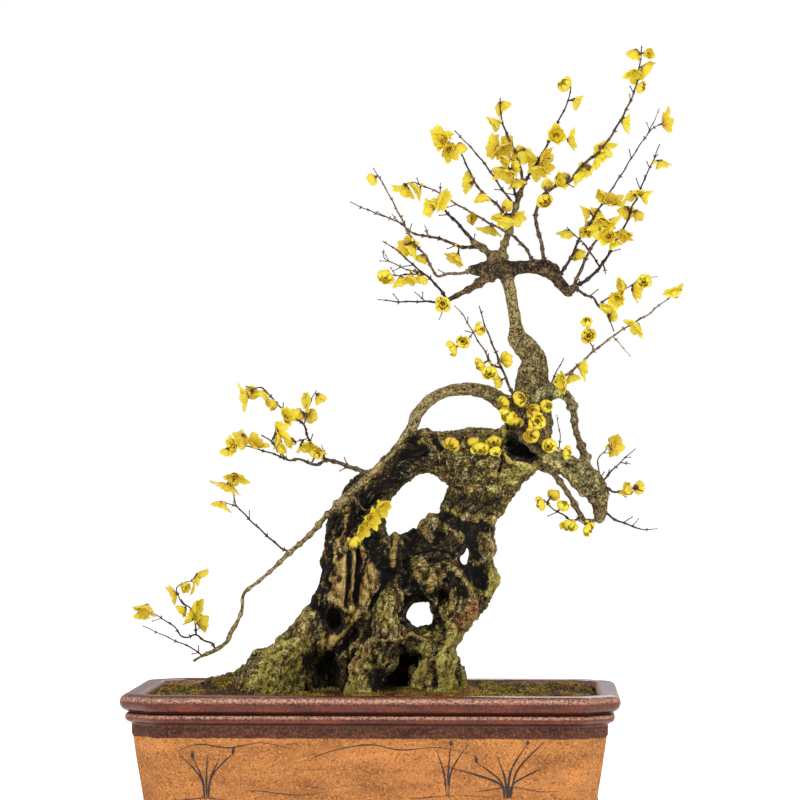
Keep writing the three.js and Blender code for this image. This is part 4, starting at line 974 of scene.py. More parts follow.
def pot_profile():
    """The pot's section from the underside, up the outside and down the inside: inset and height."""
    rise = np.subtract(PANEL_TOP, PANEL_FOOT)
    return [
        (90, FOOT_HEIGHT), (50, FOOT_HEIGHT), (33, FOOT_HEIGHT),
        *bead(30.4, 20.4, 5, 5.6, -82, 78, 9), (29.8, 26.6),
        *[PANEL_FOOT + rise * share for share in np.linspace(0.02, 0.985, 14)],
        (15.7, 110.6), (15.2, 111.4), (15.1, 116), (15, 121), (14.4, 124), (12.6, 125.6),
        *bead(11.6, 132, 5, 5.8, -78, 78, 11), (11.4, 138.4),
        *bead(10.6, 149.6, 10.6, 10.4, -74, 88, 17),
        (15, 160), (20, 159.9), (23.5, 159.4), (26, 158), (27.2, 155.6), (WALL_TOP_INSET, 152),
        (WALL_TOP_INSET, WALL_TOP), (36, 90), (WALL_BOTTOM_INSET, FLOOR_TOP + 6), (48, FLOOR_TOP + 1),
        (56, FLOOR_TOP), (100, FLOOR_TOP),
    ]


def pot_body():
    """The pot's wall and floor in one skin, slightly uneven as if made by hand."""
    rings = np.array([pot_ring(inset, height) for inset, height in pot_profile()])
    shape = rings.shape
    points = rings.reshape(-1, 3)
    sway = noise(points / (90, 90, 40), 3) * 0.5 + noise(points / (24, 24, 14), 4) * 0.22
    outward = unit(points * (1, 1, 0))
    points = points + outward * sway[:, None]
    return loft(points.reshape(shape), (0, 0, FOOT_HEIGHT), (0, 0, FLOOR_TOP))


def pot_foot(side_x, side_y):
    """One corner foot that follows the pot's outline."""
    rings = []
    for inset, height in FOOT_PROFILE:
        x, y, cut = pot_outline(inset)
        lean = 0.35 * (inset - FOOT_PROFILE[-1][0])
        inner_x = POT_LENGTH / 2 - FOOT_LENGTH + lean
        inner_y = POT_WIDTH / 2 - FOOT_WIDTH + lean
        corners = np.array([(inner_x, inner_y), (x, inner_y), (x, y - cut), (x - cut, y), (inner_x, y)])
        ring = []
        for k, corner in enumerate(corners):
            before, after = unit(corners[k - 1] - corner), unit(corners[(k + 1) % 5] - corner)
            start, end = corner + before * FOOT_SOFTNESS, corner + after * FOOT_SOFTNESS
            ring.extend(rounded(start, corner, end, 5))
        rings.append(raised(np.array(ring), height))
    rings = np.array(rings) * (side_x, side_y, 1)
    if side_x * side_y < 0:
        rings = rings[:, ::-1]
    return loft(rings, rings[0].mean(axis=0), rings[-1].mean(axis=0))


def applied(body):
    """The mesh of an object with its modifiers applied. The object itself goes."""
    mesh = bpy.data.meshes.new_from_object(body.evaluated_get(bpy.context.evaluated_depsgraph_get()))
    bpy.data.objects.remove(body)
    return mesh


def evaluated(name, parts, modifiers):
    """The mesh of some parts after modifiers, each a kind with its settings."""
    body = cutter(name, parts)
    for kind, settings in modifiers:
        modifier = body.modifiers.new(kind.title(), kind)
        for key, value in settings.items():
            setattr(modifier, key, value)
    result = applied(body)
    result.materials.clear()
    return result


def cutter(name, parts):
    """An object of closed parts, for cutting another."""
    pile = Pile()
    for part in parts:
        pile.add(part)
    return add_object(name, pile.mesh(name))


def cut_by(hole):
    """The modifier that cuts an object's shape away, with its settings."""
    return "BOOLEAN", {"operation": "DIFFERENCE", "solver": "MANIFOLD", "object": hole}


def clay_finish(settings):
    """Glossy red-brown glaze on the rim with painted highlights on its beads and painted shade in its
    grooves, a duller neck band and matte ochre clay on the panels.
    """
    fin = Finish("glazed_and_bare_clay", 0.5, Specular_IOR_Level=0.35)
    speckle = fin.clouds(2.6, detail=3.0, roughness=0.7)

    def speckled(colour, other, *steps):
        return fin.mix(fin.step(speckle, *steps), colour, other)

    rim = tuple(settings.rim_colour)
    # A dark glaze colour for the cloudy and speckled glaze, and for the painted shade in the grooves.
    dark_glaze_and_groove_shade = tuple(0.25 * c for c in rim)
    light_rim = tuple(min(1.0, 2.4 * c) for c in rim)
    glaze = fin.ramp(fin.clouds((46, 46, 12), detail=5.0), (0.25, dark_glaze_and_groove_shade), (0.5, rim), (0.85, light_rim))
    glaze = speckled(glaze, light_rim, 0.53, 0.66, 0.0, 0.6)
    glaze = speckled(glaze, dark_glaze_and_groove_shade, 0.47, 0.36, 0.0, 0.75)
    neck = fin.ramp(fin.clouds((30, 30, 9), detail=5.0), (0.3, 58, 29, 19), (0.7, 100, 57, 38))
    neck = speckled(neck, srgb(140, 90, 62), 0.52, 0.64, 0.0, 0.6)
    neck = speckled(neck, srgb(34, 17, 12), 0.47, 0.37, 0.0, 0.7)
    panel = tuple(settings.panel_colour)
    pale_panel = tuple(min(1.0, share * c) for share, c in zip((1.8, 1.8, 1.6), panel))
    dark_panel = tuple(share * c for share, c in zip((0.32, 0.24, 0.2), panel))
    drift = fin.clouds((60, 60, 22), detail=6.0)
    ochre = fin.ramp(drift, (0.1, dark_panel), (0.5, panel), (0.95, pale_panel))
    ochre = speckled(ochre, dark_panel, 0.46, 0.34, 0.0, 0.9)
    ochre = speckled(ochre, pale_panel, 0.54, 0.66, 0.0, 0.8)

    height = fin.height()
    edge = fin.sum(height, fin.times(fin.clouds((14, 14, 40)), 3.2))
    top = settings.neck_height / MM
    on_neck = fin.step(edge, top + 0.6, top + 2.2)
    on_rim = fin.step(edge, top + 14.5, top + 17.5)
    on_foot = fin.step(edge, 31, 28)
    # Painted highlights: pale bands along the crests of the rim's two beads, broken up by the speckle,
    # where a light from above would shine.
    for crest, reach in ((settings.painted_highlight_height / MM, 5.0), (top + 25.6, 2.8)):
        near = fin.step(fin.gap(height, crest), reach, 0.6)
        painted_highlight = fin.times(near, fin.step(speckle, 0.4, 0.58, 0.15, 1.0))
        glaze = fin.mix(painted_highlight, glaze, srgb(200, 152, 128))
    # Painted shade: dark bands along the rim's two grooves.
    for groove, reach in ((settings.groove_height / MM, 3.2), (top + 16, 3.4)):
        glaze = fin.mix(fin.step(fin.gap(height, groove), 0.8, reach, 0.9, 0.0), glaze, dark_glaze_and_groove_shade)
    colour = fin.mix(on_rim, fin.mix(on_neck, ochre, neck), glaze)
    fin.colour(fin.mix(on_foot, colour, glaze))
    shine = fin.step(on_rim, 0, 1, 0.8, settings.rim_roughness)
    shine = fin.sum(shine, fin.step(fin.clouds(9), 0.3, 0.7, 0.0, 0.1))
    fin.feed(fin.shader.inputs["Roughness"], shine)
    fin.relief((fin.clouds((9, 9, 5), detail=3.0), 0.6), (speckle, 0.4))
    return fin.material


# The drawing: reeds by place, number and seed, ripples by place, height, length and seed, and the
# routes of the hills.
REEDS = ((168, 7, 3), (-196, 5, 21), (96, 3, 44))
RIPPLES = (
    (-150, 42, 120, 1), (-90, 50, 96, 2), (20, 38, 130, 3),
    (-236, 34, 70, 4), (130, 47, 100, 5), (-30, 33, 80, 6),
)
HILLS = (
    ((-70, 84), (-34, 96), (4, 101), (40, 95), (86, 98), (128, 88)),
    ((-232, 92), (-204, 101), (-168, 97), (-128, 103), (-86, 94)),
)
REED_FOOT = 36
REED_HEAD = 107
SLIP_HALF_THICKNESS = 0.28


def panel_point(x, height, side):
    """A point on the long panel in front (side -1) or behind (side 1)."""
    share = (height - PANEL_FOOT[1]) / (PANEL_TOP[1] - PANEL_FOOT[1])
    inset = PANEL_FOOT[0] + (PANEL_TOP[0] - PANEL_FOOT[0]) * share
    return x * -side, side * (POT_WIDTH / 2 - inset), height


def brush_stroke(route, widest, side, seed):
    """A brushed line of dark slip on a panel, thin at both ends."""
    run = smooth_run([(x, height, 0) for x, height in route], 2.0)
    points = np.array([panel_point(x, height, side) for x, height, _ in run])
    share = np.linspace(0, 1, len(points))
    swell = np.sin(np.pi * share**0.7) ** 0.8 * 0.85 + 0.15
    uneven = 1 + 0.3 * noise(np.column_stack([share * 9, share * 0, share * 0 + seed]), seed)
    half_widths = np.maximum(widest / 2 * swell * uneven, 0.12)
    return tube(points, half_widths, np.full(len(points), SLIP_HALF_THICKNESS), 8)


def reed_clump(x, count, seed):
    """Routes of a clump of reeds that lean out from one root, with their widths."""
    for k in range(count):
        lean = (k - (count - 1) / 2) * 9 + 6 * (draw(seed + k) - 0.5)
        top = 62 + 46 * draw(seed + k + 0.5)
        bend = lean * (1.3 + 1.6 * draw(seed + k + 0.25))
        middle = (x + lean * 0.45, (REED_FOOT + top) / 2)
        yield ((x + lean * 0.15, REED_FOOT), middle, (x + bend, top)), 2.4
        if k % 3 == 1:
            yield ((x + bend, top - 1), (x + bend * 1.06, min(top + 9, REED_HEAD))), 4.2


def ripple(x, height, length, seed):
    """The route of one ripple line."""
    return tuple(
        (x + length * share, height + 2.2 * math.sin(seed + share * 7) * (0.4 + draw(seed)))
        for share in np.linspace(0, 1, 9)
    )


def panel_drawing():
    """Reeds, ripples and low hills brushed on both long panels."""
    pile = Pile()
    for side in (-1, 1):
        for x, count, seed in REEDS:
            for k, (route, widest) in enumerate(reed_clump(x, count, seed)):
                pile.add(brush_stroke(route, widest, side, seed + k))
        for x, height, length, seed in RIPPLES:
            pile.add(brush_stroke(ripple(x, height, length, seed), 1.3, side, seed))
        for k, route in enumerate(HILLS):
            pile.add(brush_stroke(route, 1.7, side, k))
    return pile


def ink_finish():
    """Dark iron slip, a little worn."""
    fin = Finish("iron_slip", 0.55)
    return fin.plain(fin.clouds(3.0), ((0.35, 26, 20, 22), (0.75, 64, 44, 38)), 1.2, 0.1)


def plastic_finish():
    """Black plastic with a dusting of soil."""
    fin = Finish("dusty_plastic", 0.6)
    return fin.plain(fin.clouds(4.0), ((0.5, 24, 24, 24), (0.8, 70, 56, 40)), 1.0, 0.1)


# The soil and its moss.
SOIL_EDGE = 147
SOIL_ROWS = 130
SOIL_COLUMNS = 230
SOIL_GAP = 0.4
SOIL_EDGE_RUN = 12
SOIL_LIFT = 0.3
SOIL_SHRINK = (0.94, 0.89)
MOSS_TUFTS = 17000
CRUMBS = 620


def soil_height(x, y):
    """The soil's mound, higher beside the left root."""
    mound = 5 * hump(x / 260, y / 150)
    left_rise = 20 * hump((x + 178) / 42, y / 60)
    right_rise = 5 * hump((x - 120) / 30, y / 70)
    swells = 1.8 * np.sin(x / 17 + 1) * np.sin(y / 15) + 1.2 * np.sin(x / 9 + y / 11)
    return SOIL_EDGE + 2 + mound + left_rise + right_rise + swells


def on_ground(x, y):
    """Places on the ground as points, for noise."""
    return raised(np.column_stack([x, y]), 0.0)


def moss_share(x, y):
    """How thick the moss lies at a place on the soil, from 0 to 1."""
    flat = on_ground(x, y)
    patches = noise(flat / 46, 11) + 0.5 * noise(flat / 17, 12)
    return ease(1.3 * patches + 0.6 * hump((x + 10) / 190, y / 90), -0.3, 0.5)


def moss_domes(x, y, share):
    """The height of small moss cushions."""
    flat = on_ground(x, y)
    wide, _ = cell_gaps(flat / 17, 15)
    small, _ = cell_gaps(flat / 8, 19)
    return share * (4.2 * np.clip(1 - wide**2, 0, 1) + 2.0 * np.clip(1 - small**2, 0, 1))


def soil_half_length(y):
    """Half the soil's length at a distance from the pot's middle, and half its width."""
    wall = (SOIL_EDGE - FLOOR_TOP) / (WALL_TOP - FLOOR_TOP)
    inset = WALL_BOTTOM_INSET + (WALL_TOP_INSET - WALL_BOTTOM_INSET) * wall + SOIL_GAP
    half_length, half_width, cut = pot_outline(inset)
    return half_length - np.maximum(np.abs(y) - (half_width - cut), 0), half_width


def soil_surface(x, y):
    """The height of the mossy soil, level with the wall at its edge."""
    reach, half_width = soil_half_length(y)
    rise = ease(np.minimum(half_width - np.abs(y), reach - np.abs(x)), 0, SOIL_EDGE_RUN)
    flat = on_ground(x, y)
    grit = 0.7 * noise(flat / 4.5, 21) + 0.5 * noise(flat / 2.3, 22)
    domes = moss_domes(x, y, moss_share(x, y))
    return SOIL_EDGE + (soil_height(x, y) - SOIL_EDGE) * rise + domes * rise + grit * rise


def soil_body():
    """The soil from the pot's floor to its mossy surface."""
    _, half_width = soil_half_length(0.0)
    y = np.linspace(-half_width, half_width, SOIL_ROWS)[:, None]
    x = np.linspace(-1, 1, SOIL_COLUMNS)[None, :] * soil_half_length(y)[0]
    x, y = (grid.ravel() for grid in np.broadcast_arrays(x, y))
    top = np.column_stack([x, y, soil_surface(x, y)])
    quads, rim = sheet_faces(np.arange(SOIL_ROWS * SOIL_COLUMNS).reshape(SOIL_ROWS, SOIL_COLUMNS))
    low = raised(top[rim, :2] * SOIL_SHRINK, FLOOR_TOP + SOIL_LIFT)
    under = len(top) + np.arange(len(rim))
    wall = np.stack([under, np.roll(under, -1), np.roll(rim, -1), rim], axis=-1)
    middle = len(top) + len(rim)
    floor = np.stack([np.full(len(rim), middle), np.roll(under, -1), under], axis=-1)
    points = np.concatenate([top, low, [(0, 0, FLOOR_TOP + SOIL_LIFT)]])
    return points, [quads, wall, floor]


def soil_finish():
    """Dark damp soil with yellow-green and brown moss."""
    fin = Finish("mossy_soil", 0.95, Specular_IOR_Level=0.25)
    grain = fin.clouds(2.4, detail=6.0)
    soil = fin.ramp(grain, (0.34, 14, 9, 7), (0.5, 52, 34, 18), (0.68, 130, 96, 52))
    tuft = fin.clouds(3.6, detail=5.0)
    moss = fin.ramp(tuft, (0.32, 26, 24, 7), (0.5, 104, 96, 22), (0.66, 194, 174, 46))
    rust = fin.ramp(tuft, (0.35, 40, 20, 12), (0.62, 150, 92, 42))
    moss = fin.mix(fin.step(fin.clouds(18, detail=5.0), 0.45, 0.53), moss, rust)
    share = fin.uneven("mark", fin.clouds(9, detail=5.0))
    fin.colour(fin.mix(fin.step(share, 0.4, 0.6), soil, moss))
    fin.relief((grain, 0.9), (fin.specks(1.6), 0.7))
    return fin.material


def scattered(count, seed):
    """Repeatable random numbers: a generator of its own for each seed."""
    return np.random.default_rng(seed).random(count)


def spikes(roots, ways, lengths, radii):
    """Slim three-sided spikes, each closed, standing on their roots."""
    guide = np.where(np.abs(ways[:, 2:]) > 0.8, (1.0, 0.0, 0.0), (0.0, 0.0, 1.0))
    side = unit(np.cross(guide, ways))
    other = np.cross(ways, side)
    corners = []
    for k in range(3):
        angle = 2 * np.pi * k / 3
        spoke = math.cos(angle) * side + math.sin(angle) * other
        corners.append(roots - ways * 0.4 + spoke * radii[:, None])
    tips = roots + ways * lengths[:, None]
    points = np.stack([*corners, tips], axis=1).reshape(-1, 3)
    base = 4 * np.arange(len(roots))[:, None]
    faces = [base + np.array(face) for face in ((0, 2, 1), (0, 1, 3), (1, 2, 3), (2, 0, 3))]
    return points, faces


def moss_tufts():
    """Fine moss shoots over the mossy patches of the soil, with a shade for each."""
    _, half_width = soil_half_length(0.0)
    y = (scattered(MOSS_TUFTS, 31) * 2 - 1) * (half_width - 3)
    x = (scattered(MOSS_TUFTS, 32) * 2 - 1) * (soil_half_length(y)[0] - 3)
    share = moss_share(x, y)
    kept = scattered(MOSS_TUFTS, 33) < share * 1.1
    x, y, share = x[kept], y[kept], share[kept]
    roots = np.column_stack([x, y, soil_surface(x, y)])
    count = len(x)
    lean = raised(np.column_stack([scattered(count, 34), scattered(count, 35)]) - 0.5, 0.75)
    lengths = 1.6 + 2.6 * scattered(count, 36) * share
    radii = 0.45 + 0.4 * scattered(count, 37)
    swell = noise(on_ground(x, y) / 14, 38)
    shade = np.clip(0.5 + 0.5 * swell + 0.5 * (scattered(count, 39) - 0.5), 0, 1)
    return spikes(roots, unit(lean), lengths, radii), np.repeat(shade, 4)


def soil_crumbs(pile):
    """Small crumbs of bark and grit that lie on the soil."""
    _, half_width = soil_half_length(0.0)
    for k in range(CRUMBS):
        y = (draw(k + 0.11) * 2 - 1) * (half_width - 6)
        x = (draw(k + 0.22) * 2 - 1) * (float(soil_half_length(y)[0]) - 6)
        size = 1.3 + 2.6 * draw(k + 0.33) ** 2
        height = float(soil_surface(np.array([x]), np.array([y]))[0])
        radii = np.array([size, size * (0.5 + 0.5 * draw(k + 0.44)), size * 0.6])
        pile.add(blob((x, y, height + size * 0.25), radii, k, 0.35, 6), finish=1, mark=draw(k + 0.55))


def moss_finish():
    """Moss shoots from dark to yellow green."""
    fin = Finish("moss_shoots", 0.8)
    stops = ((0.1, 42, 32, 11), (0.45, 112, 98, 24), (0.9, 198, 178, 50))
    return fin.plain(fin.attribute("mark"), stops, 0.8, 0.1)


def crumb_finish():
    """Brown and tan crumbs."""
    fin = Finish("bark_crumbs", 0.9)
    stops = ((0.1, 34, 22, 14), (0.5, 88, 58, 32), (0.9, 150, 114, 70))
    return fin.plain(fin.uneven("mark", fin.clouds(1.4)), stops, 0.9, 0.4)


# The trunk and its branches.
FOLD_SWELL = 0.09
FINE_SWELL = 0.05
LIMB_SIDES = 28
LIMB_STEP = 6.0
CARVED_RADIUS = 5.5
LIMB_GROWTH = 1.6
BRANCH_GROWTH = 0.3
THINNING = 0.72
THINNING_RUN = 30
NODE_STEP = 17.0
MOST_TRIANGLES = 192000


def limb_tube(stations, phase, growth):
    """A ridged limb through stations of x, y, z, half width and half depth."""
    run = smooth_run(np.column_stack([stations, np.arange(len(stations))]), LIMB_STEP)
    angles = 2 * np.pi * (np.arange(LIMB_SIDES) + 0.5) / LIMB_SIDES
    place = run[:, 5:6]
    swell = 1 + FOLD_SWELL * np.sin(3 * angles + phase + 0.5 * place)
    swell = swell + FINE_SWELL * np.sin(5 * angles - 0.8 * place + 2 * phase)
    return tube(run[:, :3], run[:, 3] + growth, run[:, 4] + growth, LIMB_SIDES, swell)


def round_stations(stations):
    """A branch's stations with its radius both ways."""
    stations = np.array(stations, float)
    return np.column_stack([stations, stations[:, 3]])


def split_branch(stations):
    """The stout start of a branch, for carving, and its thin end, for a smooth tube."""
    stout = 0
    while stout < len(stations) and stations[stout][3] >= CARVED_RADIUS:
        stout += 1
    if stout < 3:
        return [], stations
    return stations[:stout], stations[stout - 1:]


def read_back(items, field, width):
    """A field of every vertex, edge or corner of a mesh, in rows of the given width."""
    values = np.zeros(len(items) * len(np.atleast_1d(getattr(items[0], field))))
    items.foreach_get(field, values)
    return values.reshape(-1, width)


def points_of(mesh):
    """The points of a mesh in millimetres from the pot's centre."""
    return read_back(mesh.vertices, "co", 3) / MM - POT_CENTRE


def carved_mass(settings):
    """The stout wood grown into one skin, with its hollows cut out."""
    limbs = [*LIMBS.values(), *SWELLINGS]
    parts = [limb_tube(stations, phase, LIMB_GROWTH) for phase, stations in enumerate(limbs)]
    for phase, stations in enumerate(BRANCHES.values()):
        stout, _ = split_branch(stations)
        if len(stout):
            parts.append(limb_tube(round_stations(stout), phase, BRANCH_GROWTH))
    hollows = [
        cutter("hollow_shape", [blob(centre, radii, seed, 0.16)])
        for seed, (centre, radii) in enumerate(HOLLOWS)
    ]
    mesh = evaluated("stout_wood", parts, (
        ("REMESH", {"mode": "VOXEL", "voxel_size": 1.2 * settings.voxel}),
        ("SMOOTH", {"factor": 0.5, "iterations": 6}),
        *[cut_by(hollow) for hollow in hollows],
        ("REMESH", {"mode": "VOXEL", "voxel_size": settings.voxel}),
        ("SMOOTH", {"factor": 0.5, "iterations": 3}),
    ))
    for hollow in hollows:
        bpy.data.objects.remove(hollow)
    points = points_of(mesh)
    faces = read_back(mesh.loops, "vertex_index", 4).astype(int)
    bpy.data.meshes.remove(mesh)
    return points, [faces]


def thin_branches():
    """The thin ends of the branches as tubes with swollen nodes."""
    parts = []
    for phase, stations in enumerate(BRANCHES.values()):
        _, thin = split_branch(stations)
        if len(thin) < 2:
            continue
        run = smooth_run(thin, 2.0)
        points = run[:, :3]
        passed = passed_along(points)
        swell = np.ones(len(points))
        for k, node in enumerate(np.arange(9 + 7 * draw(phase), passed[-1], NODE_STEP)):
            bulge = 0.3 + 0.55 * draw(phase + 3.7 * k)
            swell += bulge * hump((passed - node) / (2.2 + 2.0 * draw(phase + k)))
        slim = 1 - (1 - THINNING) * ease(passed, 0, THINNING_RUN)
        parts.append(rod(points, run[:, 3] * slim * swell, 14))
    return parts


def nearest_on(points, stations):
    """How far points lie outside a limb, their place across and along it, and its radius there."""
    best = np.full(len(points), 1e9)
    grain = np.zeros((len(points), 3))
    radius = np.zeros(len(points))
    passed = 0.0
    for start, end in zip(stations, stations[1:]):
        length = np.linalg.norm(end[:3] - start[:3])
        along = (end[:3] - start[:3]) / length
        depth = unit(np.array([0, 1, 0]) - along[1] * along)
        width = np.cross(depth, along)
        from_start = points - start[:3]
        reach = np.clip(from_start @ along, 0, length)
        offset = from_start - reach[:, None] * along
        size = start[3] + (end[3] - start[3]) * reach / length
        gap = np.linalg.norm(offset, axis=1) - size
        closer = gap < best
        best[closer] = gap[closer]
        radius[closer] = size[closer]
        grain[closer] = np.stack([offset @ width, offset @ depth, passed + reach], axis=1)[closer]
        passed += length
    return best, grain, radius


def wood_fields(points):
    """For each point of the wood: the grain and radius of its two nearest limbs, and its looks."""
    looks = []
    found = []
    for name, stations in (*LIMBS.items(), *BRANCHES.items()):
        stations = np.array(stations, float)
        if name in LIMBS:
            stations = np.column_stack([stations[:, :3], stations[:, 3:].mean(axis=1)])
            looks.append((*LIMB_LOOKS[name], 0.35, 0.0, 1.0))
        else:
            looks.append((0.0, 0.0, 0.0, *BRANCH_LOOKS[name], 0.0))
        found.append(nearest_on(points, stations))
    gaps = np.stack([gap for gap, _, _ in found])
    every = np.arange(len(points))
    first = gaps.argmin(axis=0)
    first_gap = gaps[first, every]
    gaps[first, every] = 1e9
    second = gaps.argmin(axis=0)
    share = 0.5 * np.exp(-(gaps[second, every] - first_gap) / 5.0)
    grains = np.stack([grain for _, grain, _ in found])
    radii = np.stack([radius for _, _, radius in found])
    looks = np.array(looks)
    look = looks[first] * (1 - share)[:, None] + looks[second] * share[:, None]
    return [(k.astype(float), grains[k, every], radii[k, every]) for k in (first, second)], share, look


LIMB_SHIFT = (131.0, 57.0, 0.0)


def rough(points, size, seed, octaves=4):
    """Noise with finer and finer swells on top of its largest, from about -1 to 1."""
    total = np.zeros(len(points))
    for k in range(octaves):
        total += 0.6**k * noise(points * 2**k / size, seed + k)
    return total


def old_bark(points, grain, limb, furrow):
    """Fissures and ribs along furrowed old wood, knobs on the rest and crags on all, in millimetres."""
    wander = np.stack([noise(points / 33, 71), noise(points / 33, 72), noise(points / 33, 73)], axis=1)
    place = grain + limb[:, None] * LIMB_SHIFT + wander * (11, 11, 0)
    fissures = ease(np.abs(noise(place / (17, 17, 75), 41)), 0.0, 0.2) - 1
    ribs = 0.35 - np.abs(noise(place / (8, 8, 34), 42))
    knobs = 0.3 - np.abs(noise(points / 11, 43)) - 0.5 * np.abs(noise(points / 5, 44))
    crags = 4.2 * rough(points + 3 * wander, 21, 80)
    return furrow * (6.5 * fissures + 5.0 * ribs) + (1 - furrow) * 3.2 * knobs + crags


def living_bark(grain, limb, radius, tan):
    """Knobs, scars and fine wrinkles on a living branch, in millimetres."""
    place = grain + limb[:, None] * LIMB_SHIFT
    knobs = noise(place / (9, 9, 13), 51) * (0.24 - 0.12 * tan) * ease(radius, 2, 6)
    wrinkles = np.abs(noise(place / (3.4, 3.4, 9), 52))
    scars = hump(((grain[:, 2] + 3 * noise(place / 40, 53)) % 15 - 7.5) / 1.6)
    stout = np.clip(radius / 8, 0, 1)
    return radius * (knobs + 0.1 * scars * np.clip(9 / radius, 0, 1) * stout) + wrinkles * stout


def smoothed(values, edges, rounds):
    """Values averaged with those of their neighbours, round after round."""
    one, other = edges.T
    count = np.bincount(edges.ravel(), minlength=len(values))
    for _ in range(rounds):
        sums = [
            np.bincount(one, column[other], len(values)) + np.bincount(other, column[one], len(values))
            for column in values.T
        ]
        values = 0.3 * values + 0.7 * np.stack(sums, axis=1) / count[:, None]
    return values


def route_gap(points, route):
    """The distance in x and z from each point to a route."""
    flat = points[:, [0, 2]]
    route = np.array(route, float)
    best = np.full(len(points), 1e9)
    for start, end in zip(route, route[1:]):
        way = end - start
        reach = np.clip((flat - start) @ way / (way @ way), 0, 1)
        best = np.minimum(best, np.linalg.norm(flat - start - reach[:, None] * way, axis=1))
    return best


def lightened(mesh, most):
    """The mesh with its flattest faces merged, until it has no more than the given triangles."""
    count = sum(len(face.vertices) - 2 for face in mesh.polygons)
    body = add_object(mesh.name, mesh)
    body.modifiers.new("Lighten", "DECIMATE").ratio = min(1.0, most / count)
    result = applied(body)
    bpy.data.meshes.remove(mesh)
    result.shade_smooth()
    return result


def bark_looks(points, look, is_old, pits):
    """How much of each look shows at each point, before the marks."""
    _, moss, dark, _, lichen, _ = look.T
    low = ease(points[:, 2], 230, 150) * is_old
    ground_moss = 0.6 * low * ease(noise(points / 30, 52), -0.3, 0.5)
    return {
        "dark": dark * ease(noise(points / 30, 48), -0.6, 0.4) + 0.7 * pits,
        "bare": 0.35 * is_old * ease(noise(points / 22, 49), 0.3, 0.7),
        "moss": moss * ease(noise(points / 26, 50), -0.6, 0.4) + ground_moss,
        "lichen": lichen * ease(noise(points / 14, 51), -0.7, 0.4),
        "red": np.zeros(len(points)),
    }


def marked(points, normals, looks, push):
    """The looks and the push out of the surface, with the marks and the hollows put in."""
    front = ease(-normals[:, 1], -0.6, 0.1) * ease(24 - points[:, 1], 0, 18)
    ragged = noise(points / 7, 61) + 0.7 * noise(points / 3, 62)
    for name, strength, half_width, lift, route in MARKS:
        gap = route_gap(points, route) / half_width + 0.25 * ragged
        shows = (1 - ease(gap, 0.4, 1.3)) * front
        push = push + lift * shows
        for key in looks:
            if key != name:
                looks[key] = looks[key] * (1 - 0.8 * shows * strength)
        looks[name] = np.maximum(looks[name], strength * shows)
    for centre, radii in HOLLOWS:
        gap = np.linalg.norm((points - centre) / (np.array(radii) + HOLLOW_MARGIN), axis=1)
        inside = 1 - ease(gap, 0.9, 1.06)
        # Painted shade: the bark in and round each hollow is painted dark.
        looks["dark"] = np.maximum(looks["dark"], 0.7 * inside)
        push = push * (1 - (0.9 if radii[0] < THROUGH_HOLE else 0.5) * inside)
    return looks, push


def dress_wood(mesh, settings):
    """Carves bark into the wood and keeps what shows where for its material."""
    points = points_of(mesh)
    normals = read_back(mesh.vertex_normals, "vector", 3)
    edges = read_back(mesh.edges, "vertices", 2).astype(int)
    nearest, share, look = wood_fields(points)
    furrow, tan, is_old = look[:, 0], look[:, 3], ease(look[:, 5], 0.1, 0.6)
    depth = np.zeros(len(points))
    for weight, (limb, grain, radius) in zip((1 - share, share), nearest):
        old = old_bark(points, grain, limb, furrow) * np.clip(radius / 30, 0.15, 1)
        living = living_bark(grain, limb, radius, tan)
        depth += weight * np.where(limb < len(LIMBS), old, living)
    rot = noise(points / 24, 46) + 0.5 * noise(points / 8, 47)
    pits = ease(rot, 0.35, 0.85) * is_old * furrow
    looks = bark_looks(points, look, is_old, pits)
    looks, push = marked(points, normals, looks, depth - 6 * pits + 1.5 * is_old)

    points = points + normals * (push * settings.relief)[:, None]
    broad = np.einsum("ij,ij->i", points - smoothed(points, edges, 26), normals)
    fine = np.einsum("ij,ij->i", points - smoothed(points, edges, 4), normals)
    mesh.vertices.foreach_set("co", to_metres(points).ravel())
    mesh.update()
    for name, values in looks.items():
        store(mesh, name, np.clip(values, 0, 1))
    # The crest value, how far each point stands out of its smoothed surroundings, lightens the bark on
    # crests and darkens it in creases and hollows: partly the bark's own dark fissures, partly painted
    # shade and highlight.
    store(mesh, "crest", np.clip(0.5 + 0.13 * broad + 0.3 * fine, 0, 1))
    store(mesh, "tan", tan)
    store(mesh, "old", is_old)
    store(mesh, "grain", nearest[0][1] + nearest[0][0][:, None] * LIMB_SHIFT)


# Colours of the bark from its creases to its crests: places and screen values.
BARK_STOPS = {
    "old": (
        (0.25, 9, 8, 6), (0.38, 34, 27, 15), (0.5, 74, 60, 30), (0.61, 106, 89, 45),
        (0.7, 156, 136, 76), (0.8, 222, 206, 142),
    ),
    "russet": (
        (0.27, 12, 7, 6), (0.42, 52, 32, 22), (0.56, 106, 72, 44), (0.7, 166, 126, 80),
        (0.85, 218, 190, 142),
    ),
    "ashen": (
        (0.27, 8, 8, 10), (0.42, 46, 42, 38), (0.56, 96, 90, 74), (0.7, 164, 158, 134),
        (0.85, 226, 222, 200),
    ),
    "brown": ((0.34, 10, 7, 8), (0.48, 37, 26, 21), (0.62, 79, 61, 42), (0.78, 134, 111, 76)),
    "tan": ((0.3, 28, 21, 13), (0.42, 70, 58, 33), (0.54, 111, 95, 57), (0.74, 190, 171, 118)),
    "bare": (
        (0.26, 20, 14, 8), (0.4, 74, 55, 25), (0.54, 126, 98, 48), (0.68, 166, 136, 74),
        (0.82, 216, 190, 126),
    ),
    "red": ((0.3, 36, 20, 12), (0.46, 126, 76, 42), (0.66, 206, 144, 92)),
    "moss": (
        (0.24, 18, 16, 7), (0.36, 68, 59, 24), (0.48, 126, 112, 50), (0.6, 168, 152, 74),
        (0.72, 208, 194, 112), (0.86, 232, 222, 150),
    ),
    "lichen": ((0.32, 44, 40, 20), (0.5, 124, 118, 70), (0.7, 206, 202, 150)),
}


